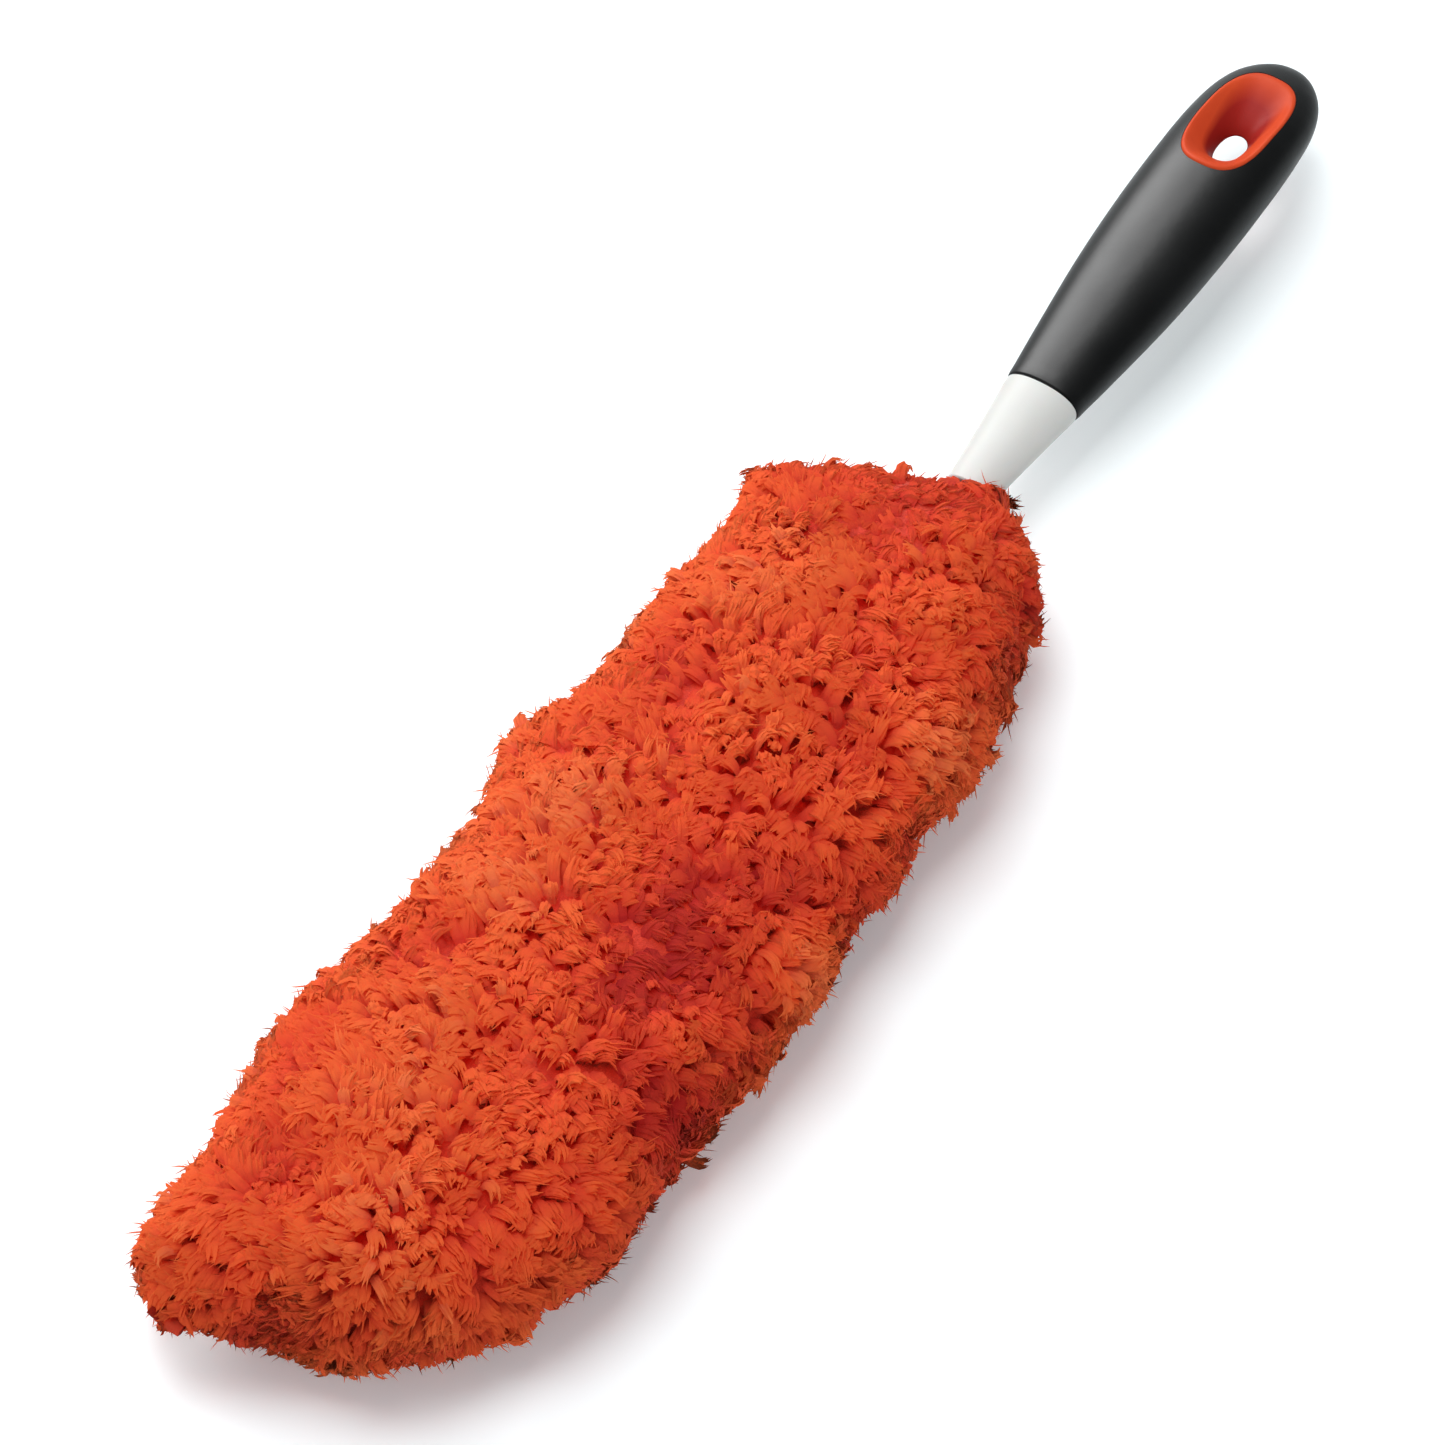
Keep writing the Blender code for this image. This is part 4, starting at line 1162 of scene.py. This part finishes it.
def build_ground():
    """The felted lower pile of both panels as one body, open at the mouth, with room inside for the blade."""
    lumps = smooth_fields(31, 7.0, 1)
    count = 96
    turn = 2 * math.pi * np.arange(count) / count
    xs = [-227.0, -226.0, -224.0, -221.0, -217.5] + list(np.arange(-214.0, 62.0, 4.0)) + [64.5, 66.5, 67.2]
    loops = [[(-227.8, 29.0, AXIS_Z)]]
    for x in xs:
        outer = x + 1.5 if x < -200 else x
        mid, wide, high = smooth_rows(PILE_ROWS, [outer])[0]
        under = GROUND_UNDER * (1.0 if x > -212 else 1.15)
        wide, high = max(wide - under, 2.0), max(high - under, 1.6)
        pts = np.stack([
            np.full(count, x),
            mid + wide * sgn_pow(np.cos(turn), 2 / PILE_SQUARE),
            AXIS_Z + high * np.where(np.sin(turn) < 0, PILE_PRESS, 1.0) * sgn_pow(np.sin(turn), 2 / PILE_SQUARE),
        ], 1)
        middle = np.array([x, mid, AXIS_Z])
        away = pts - middle
        pts = middle + away * (1 + 0.8 * lumps(pts) / np.maximum(np.linalg.norm(away, axis=1), 1.0)[:, None])
        loops.append([tuple(p) for p in pts])
    ground = loft("pile_ground_body", loops)
    for cutter in pile_pocket():
        combine(ground, cutter, "DIFFERENCE")
    ground.data.polygons.foreach_set("use_smooth", [True] * len(ground.data.polygons))
    bpy.context.view_layer.objects.active = ground
    return dress(ground, "sleeve", ground_cloth(), "pile_top", "pile_bottom", slot="orange_pile")


build_ground()

# ---------------------------------------------------------------- pile: the locks of microfibre

FINE = 6
# a lock's soft body, and the fine strands over it that run on past its end: place along, distance out, half width
BODY_LINE = np.array([0.0, 0.34, 0.60, 0.78, 0.90, 0.96])
BODY_WIDE = np.array([1.5, 1.62, 1.56, 1.34, 0.86, 0.0])
BODY_FLAT = 0.74
FINE_LINE = np.array([0.26, 0.52, 0.76, 0.94, 1.06])
FINE_OUT = np.array([1.25, 1.46, 1.42, 1.34, 1.30])
FINE_WIDE = np.array([0.44, 0.56, 0.56, 0.42, 0.0])
# thin stray fibres that stand off the tips
STRAY = 2
STRAY_LINE = np.array([0.50, 0.78, 0.98, 1.13])
STRAY_OUT = np.array([1.15, 1.35, 1.50, 1.55])
STRAY_WIDE = np.array([0.22, 0.22, 0.16, 0.0])
INSET = 2.3


def lay_pile():
    """Every lock of the pile as curves: centre line points, frames, sizes, bulk normals, and its value on the colour chart."""
    p, n = scatter(PILE_STEP, 11, -INSET)
    g = np.random.default_rng(12)

    # fewer locks where the table hides them
    hidden = (n[:, 2] < -0.8) & (g.uniform(size=len(p)) < 0.38)
    p, n = p[~hidden], n[~hidden]

    flakes, flake_n = scatter(9.0, 13, -INSET, 0.8)
    pits, _ = scatter(15.0, 14, -INSET, 0.95)
    pits = pits[np.random.default_rng(15).uniform(size=len(pits)) < 0.42 - 0.24 * np.clip(pits[:, 1] / 30.0, -1, 1)]
    pit_size = np.random.default_rng(16).uniform(0.8, 2.0, len(pits))
    hit = nearest(pits, p)[:, 0]
    pit_i, pit_d = hit[:, 0].astype(int), hit[:, 1]
    keep = pit_d > pit_size[pit_i]
    p, n, pit_i, pit_d = p[keep], n[keep], pit_i[keep], pit_d[keep]
    count = len(p)

    def bias_at(q):
        bias = np.zeros_like(q)
        bias[:, 1] = 0.75 * np.clip(q[:, 1] / 45.0, -1, 1)
        bias[:, 2] = -0.22
        bias[:, 0] = -0.9 * np.clip((-195.0 - q[:, 0]) / 25.0, 0, 1) + 1.5 * np.clip((q[:, 0] - 38.0) / 26.0, 0, 1)
        return bias

    # lie: each flake has its own, from patches that swirl, out and down from the middle
    swirl = smooth_fields(23, 13.0, 3)
    flake_lie = 1.1 * swirl(flakes) + bias_at(flakes) + 0.24 * np.random.default_rng(17).normal(size=flakes.shape)
    flake_lie -= flake_n * np.einsum("ij,ij->i", flake_lie, flake_n)[:, None]
    flake_lean = np.clip(np.linalg.norm(flake_lie, axis=1), 0.3, 1.3)
    flake_lie = unit(flake_lie)

    # heights: broad lumps, the tilt of each flake, and the parting round the pits
    broad = smooth_fields(21, 24.0, 1)
    wave = smooth_fields(26, 50.0, 1)
    fine = smooth_fields(20, 10.5, 1)
    two = nearest(flakes, p, 2)
    flake_i, flake_d = two[:, 0, 0].astype(int), two[:, 0, 1]
    parting = np.clip((two[:, 1, 1] - flake_d) / 4.5, 0, 1)
    tall = np.random.default_rng(22).normal(0, 0.3, len(flakes))
    ahead = np.einsum("ij,ij->i", p - flakes[flake_i], flake_lie[flake_i])

    def relief(q):
        return (2.1 * broad(q)[:, 0] + 1.6 * wave(q)[:, 0] + 0.5 * fine(q)[:, 0]) * (1 - 0.3 * np.clip(q[:, 1] / 30.0, -1, 1))

    rise = relief(p) + 0.6 * tall[flake_i] + 0.06 * ahead + 0.25 * (parting - 0.5) + g.normal(0, 0.22, count)
    near_pit = np.clip(1 - (pit_d - pit_size[pit_i]) / 3.2, 0, 1)
    rise -= 0.8 * near_pit
    proud = g.uniform(size=count) < 0.05
    rise += np.where(proud, g.uniform(1.0, 2.6, count), 0.0)

    # bulk normals follow the relief, not each strand
    first = unit(np.cross(n, np.array([0.31, 0.17, 0.93])))
    second = np.cross(n, first)
    e = 1.2
    slope_a = (relief(p + e * first) - relief(p - e * first)) / (2 * e)
    slope_b = (relief(p + e * second) - relief(p - e * second)) / (2 * e)
    bulk = unit(n - 1.0 * (slope_a[:, None] * first + slope_b[:, None] * second) - 0.22 * flake_lie[flake_i])

    lie = 0.42 * flake_lie[flake_i] * flake_lean[flake_i][:, None] + 0.30 * swirl(p) + 0.50 * g.normal(size=p.shape)
    lie += 0.5 * bias_at(p)
    lie += 0.7 * near_pit[:, None] * unit(p - pits[pit_i])
    lie -= n * np.einsum("ij,ij->i", lie, n)[:, None]
    lean = np.clip(np.linalg.norm(lie, axis=1), 0.25, 1.3)
    lie = unit(lie)

    long = g.uniform(3.0, 5.8, count) * (0.4 + 0.6 * lean)
    at_neck = np.clip((p[:, 0] - 56.0) / 12.0, 0, 1)
    depth = 6.0 - 2.6 * at_neck
    rise = rise * (1 - 0.45 * at_neck) - 0.4 * at_neck

    # the tips of a flake draw together
    centre = flakes[flake_i] - p
    centre -= n * np.einsum("ij,ij->i", centre, n)[:, None]
    pull = centre * 0.19

    side = unit(np.cross(lie, n))
    curl = g.normal(0, 0.9, count)
    hook = g.uniform(0.0, 1.8, count)

    size = g.uniform(0.76, 1.2, count) * (1 - 0.2 * at_neck) * np.where(proud, 0.8, 1.0)
    spin = g.normal(0, 0.5, count)
    nn, dd, ss, pp = (v[:, None, None, :] for v in (n, lie, side, p))
    col = lambda v: np.asarray(v)[:, None, None, None]

    def strands(place, out, wide, flat, many, spread, stray=0.0):
        """Curves of many strands in each lock: centre lines, frames and half widths."""
        t = place[None, None, :] * (1 + g.uniform(-spread, spread, (count, many, 1)))
        rise_share = 1 - (1 - np.minimum(t, 1)) ** 1.9
        t4, up4 = t[..., None], rise_share[..., None]
        line = (
            pp - nn * col(depth)
            + nn * (col(depth) + col(rise)) * up4
            + dd * col(long) * t4**1.7
            + pull[:, None, None, :] * t4**1.5
            + ss * col(curl) * np.sin(2.6 * t4) * t4
            - nn * (col(hook) * (1 - stray) - 0.55 * stray) * np.maximum(t4 - 0.72, 0) ** 2 * 9.0
        )
        line[..., 2] -= 0.7 * t**2
        run = unit(np.gradient(line, axis=2))
        across = unit(np.cross(run, nn + 0.001))
        over = np.cross(across, run)
        big = size[:, None, None] * g.uniform(0.82, 1.2, (count, many, 1))
        if many > 1:
            turn = g.uniform(0, 2 * math.pi, (count, 1, 1)) + np.arange(many)[None, :, None] * 2 * math.pi / many
            turn = turn + g.uniform(-0.45, 0.45, (count, many, 1)) + 1.3 * t * spin[:, None, None]
            far = out[None, None, :] * big
            line = line + across * (np.cos(turn) * far)[..., None] + over * (np.sin(turn) * far * 0.62)[..., None]
            bend = g.normal(0, 0.35, (count, many, 1, 3)) * t4**3
            line = line + bend
        line = neck_room(line, 0.9)
        return line, run, across, over, wide[None, None, :] * big, flat

    body = strands(BODY_LINE, None, BODY_WIDE, BODY_FLAT, 1, 0.05)
    fine = strands(FINE_LINE, FINE_OUT, FINE_WIDE, 0.8, FINE, 0.12)
    loose = strands(STRAY_LINE, STRAY_OUT, STRAY_WIDE, 0.9, STRAY, 0.14, 1.0)

    patch = smooth_fields(24, 40.0, 1)(p)[:, 0] + 0.4 * smooth_fields(25, 16.0, 1)(p)[:, 0]
    # painted shade: the side away from the lamps (towards -y) is coloured deeper and darker than the rest
    painted_shade_side = 0.5 - 0.5 * np.sin(0.5 * math.pi * np.clip((p[:, 1] + 14.0) / 34.0, -1, 1))
    # painted shade: the tone also follows rise, so locks that sit lower in the relief are coloured darker and redder
    tone = np.clip(0.63 - 0.16 * painted_shade_side + 0.22 * np.where(patch < 0, patch, 0.45 * patch) + g.normal(0, 0.03, count) + 0.09 * rise, 0.02, 0.95)
    # painted light: the rim on the lamp side (towards +y) is coloured paler
    rim = np.clip((p[:, 1] - 36.0) / 12.0, 0, 1)
    tone = np.clip(tone + 0.16 * rim, 0.02, 0.95)
    tones = tone[:, None], np.clip(tone[:, None] + g.normal(0, 0.03, (count, FINE)), 0.01, 0.98), np.clip(tone[:, None] + g.uniform(-0.02, 0.12, (count, STRAY)), 0.01, 0.98)
    return p, body, fine, loose, bulk, tones


def strand_arrays(line, run, across, over, wide, flat, bulk, tone, sides, place, share):
    """Strands as tapered flat bodies, closed at both ends, laid on the colour chart by tone and by height.
    Their normals lean towards the bulk of the pile, because a strand is a bundle of far finer fibres."""
    count, rings = line.shape[0], line.shape[1]
    body = rings - 1
    per = body * sides + 1
    verts = np.empty((count, per, 3))
    facing = np.empty((count, per, 3))
    for i in range(sides):
        a = 2 * math.pi * (i + 0.5) / sides
        c, s = math.cos(a), math.sin(a)
        spot = slice(i, body * sides, sides)
        verts[:, spot] = line[:, :body] + wide[:, :body, None] * (c * across[:, :body] + flat * s * over[:, :body])
        facing[:, spot] = unit(c * flat * across[:, :body] + s * over[:, :body])
    verts[:, -1] = line[:, -1]
    facing[:, -1] = unit(run[:, -1] + over[:, -1])
    facing = unit((1 - share) * facing + share * bulk[:, None, :])
    verts = on_table(verts)
    verts[..., 2] = np.maximum(verts[..., 2], 0.05)

    corners, loops, chart = [], [], []
    width = 0.004
    for k in range(body - 1):
        for i in range(sides):
            j = (i + 1) % sides
            corners += [k * sides + i, k * sides + sides + i, k * sides + sides + j, k * sides + j]
            chart += [(i, k), (i, k + 1), (i + 1, k + 1), (i + 1, k)]
            loops.append(4)
    last = (body - 1) * sides
    for i in range(sides):
        corners += [last + i, body * sides, last + (i + 1) % sides]
        chart += [(i, body - 1), (i + 0.5, body), (i + 1, body - 1)]
        loops.append(3)
    corners += list(range(sides))
    chart += [(i + 0.2, 0.1 + 0.1 * (i == 1)) for i in range(sides)]
    loops.append(sides)

    corner = np.array(corners)[None] + per * np.arange(count)[:, None]
    chart = np.array(chart)
    level = np.clip(place / 1.1, 0, 1) * 0.97 + 0.015
    u = tone[:, None] + chart[None, :, 0] / sides * width
    v = np.broadcast_to(np.interp(chart[:, 1], np.arange(rings), level)[None], u.shape)
    return verts.reshape(-1, 3), facing.reshape(-1, 3), corner.ravel(), np.tile(loops, count), np.stack([u, v], -1).reshape(-1, 2)


def strand_mesh(name, parts):
    verts, facing, corner, loops, chart = [], [], [], [], []
    base = 0
    for v, f, c, n, uv in parts:
        verts.append(v)
        facing.append(f)
        corner.append(c + base)
        loops.append(n)
        chart.append(uv)
        base += len(v)
    verts, facing, corner, loops, chart = (np.concatenate(a) for a in (verts, facing, corner, loops, chart))
    mesh = bpy.data.meshes.new(name)
    mesh.vertices.add(len(verts))
    mesh.vertices.foreach_set("co", (verts * MM).ravel().astype(np.float32))
    mesh.loops.add(len(corner))
    mesh.loops.foreach_set("vertex_index", corner.astype(np.int32))
    mesh.polygons.add(len(loops))
    mesh.polygons.foreach_set("loop_start", (np.cumsum(loops) - loops).astype(np.int32))
    mesh.polygons.foreach_set("use_smooth", np.ones(len(loops), bool))
    layer = mesh.uv_layers.new(name="OFBake")
    layer.data.foreach_set("uv", chart.ravel().astype(np.float32))
    mesh.update(calc_edges=True)
    mesh.normals_split_custom_set_from_vertices(facing.tolist())
    obj = bpy.data.objects.new(name, mesh)
    scene.collection.objects.link(obj)
    return obj


def microfibre(name="microfibre"):
    n = Nodes(name, Roughness=0.78)
    n.set("Specular IOR Level", 0.015)
    n.set("Sheen Weight", 0.06)
    n.set("Sheen Roughness", 0.42)
    n.set("Sheen Tint", (1.0, 0.58, 0.36))
    chart = n.add("ShaderNodeUVMap", uv_map="OFBake").outputs["UV"]
    parts = n.add("ShaderNodeSeparateXYZ")
    n.link(chart, parts.inputs[0])
    tone, level = parts.outputs["X"], parts.outputs["Y"]
    streak_map = n.add("ShaderNodeMapping")
    streak_map.inputs["Scale"].default_value = (700.0, 5.0, 1.0)
    n.link(chart, streak_map.inputs["Vector"])
    streak = n.noise(streak_map.outputs["Vector"], 1.0, 2.0, 0.6)
    tip = n.ramp(tone, [(0.0, (0.27, 0.012, 0.010)), (0.2, (0.43, 0.028, 0.015)), (0.4, (0.60, 0.057, 0.020)), (0.65, (0.67, 0.087, 0.023)), (0.82, (0.69, 0.108, 0.028)), (1.0, (0.72, 0.148, 0.046))])
    # painted shade: each strand is coloured redder and a little darker toward its root, for the shade deep in the
    # pile
    root = n.mix(1.0, tip, (0.90, 0.56, 0.95), "MULTIPLY")
    colour = n.mix(n.ramp(level, [(0.25, 0.0), (0.68, 0.85), (0.85, 1.0)]), root, tip)
    colour = n.mix(n.ramp(level, [(0.84, 0.0), (0.99, 0.14)]), colour, (0.74, 0.20, 0.08))
    colour = n.mix(n.ramp(streak, [(0.35, 0.0), (0.65, 0.14)]), colour, n.mix(1.0, colour, (0.86, 0.66, 0.62), "MULTIPLY"))
    n.drive("Base Color", colour)
    n.drive("Roughness", n.ramp(streak, [(0.3, 0.70), (0.7, 0.86)]))
    n.drive("Normal", n.bump(streak, 0.0002, 0.5))
    # lamp light goes on through the fibres and comes out redder
    path = n.add("ShaderNodeLightPath")
    through = n.add("ShaderNodeBsdfTransparent")
    through.inputs["Color"].default_value = (0.90, 0.48, 0.36, 1.0)
    both = n.add("ShaderNodeMixShader")
    n.link(path.outputs["Is Shadow Ray"], both.inputs[0])
    n.link(n.shader.outputs[0], both.inputs[1])
    n.link(through.outputs[0], both.inputs[2])
    end = next(x for x in n.tree.nodes if x.type == "OUTPUT_MATERIAL")
    n.link(both.outputs[0], end.inputs["Surface"])
    return n


def build_pile():
    places, body, fine, loose, bulk, tones = lay_pile()
    fibre = microfibre()
    upper = places[:, 2] > AXIS_Z
    for field, node, mask in (("top", "pile_top", upper), ("bottom", "pile_bottom", ~upper)):
        order = np.nonzero(mask)[0]
        order = order[np.argsort(places[order, 0])]
        pieces = math.ceil(len(order) * (48 + FINE * 22 + STRAY * 16) / 185000)
        for k, chunk in enumerate(np.array_split(order, pieces)):
            parts = []
            for (line, run, across, over, wide, flat), tone, sides, place, share in (
                (body, tones[0], 5, BODY_LINE, 0.86), (fine, tones[1], 3, FINE_LINE, 0.84), (loose, tones[2], 3, STRAY_LINE, 0.84),
            ):
                many, rings = line.shape[1], line.shape[2]
                curves = [values[chunk].reshape(-1, rings, 3) for values in (line, run, across, over)]
                parts.append(strand_arrays(
                    *curves, wide[chunk].reshape(-1, rings), flat, np.repeat(bulk[chunk], many, 0),
                    tone[chunk].reshape(-1), sides, place, share,
                ))
            dress(strand_mesh("pile_%s_locks_%d" % (field, k + 1), parts), "sleeve", fibre, node, slot="orange_pile")


build_pile()
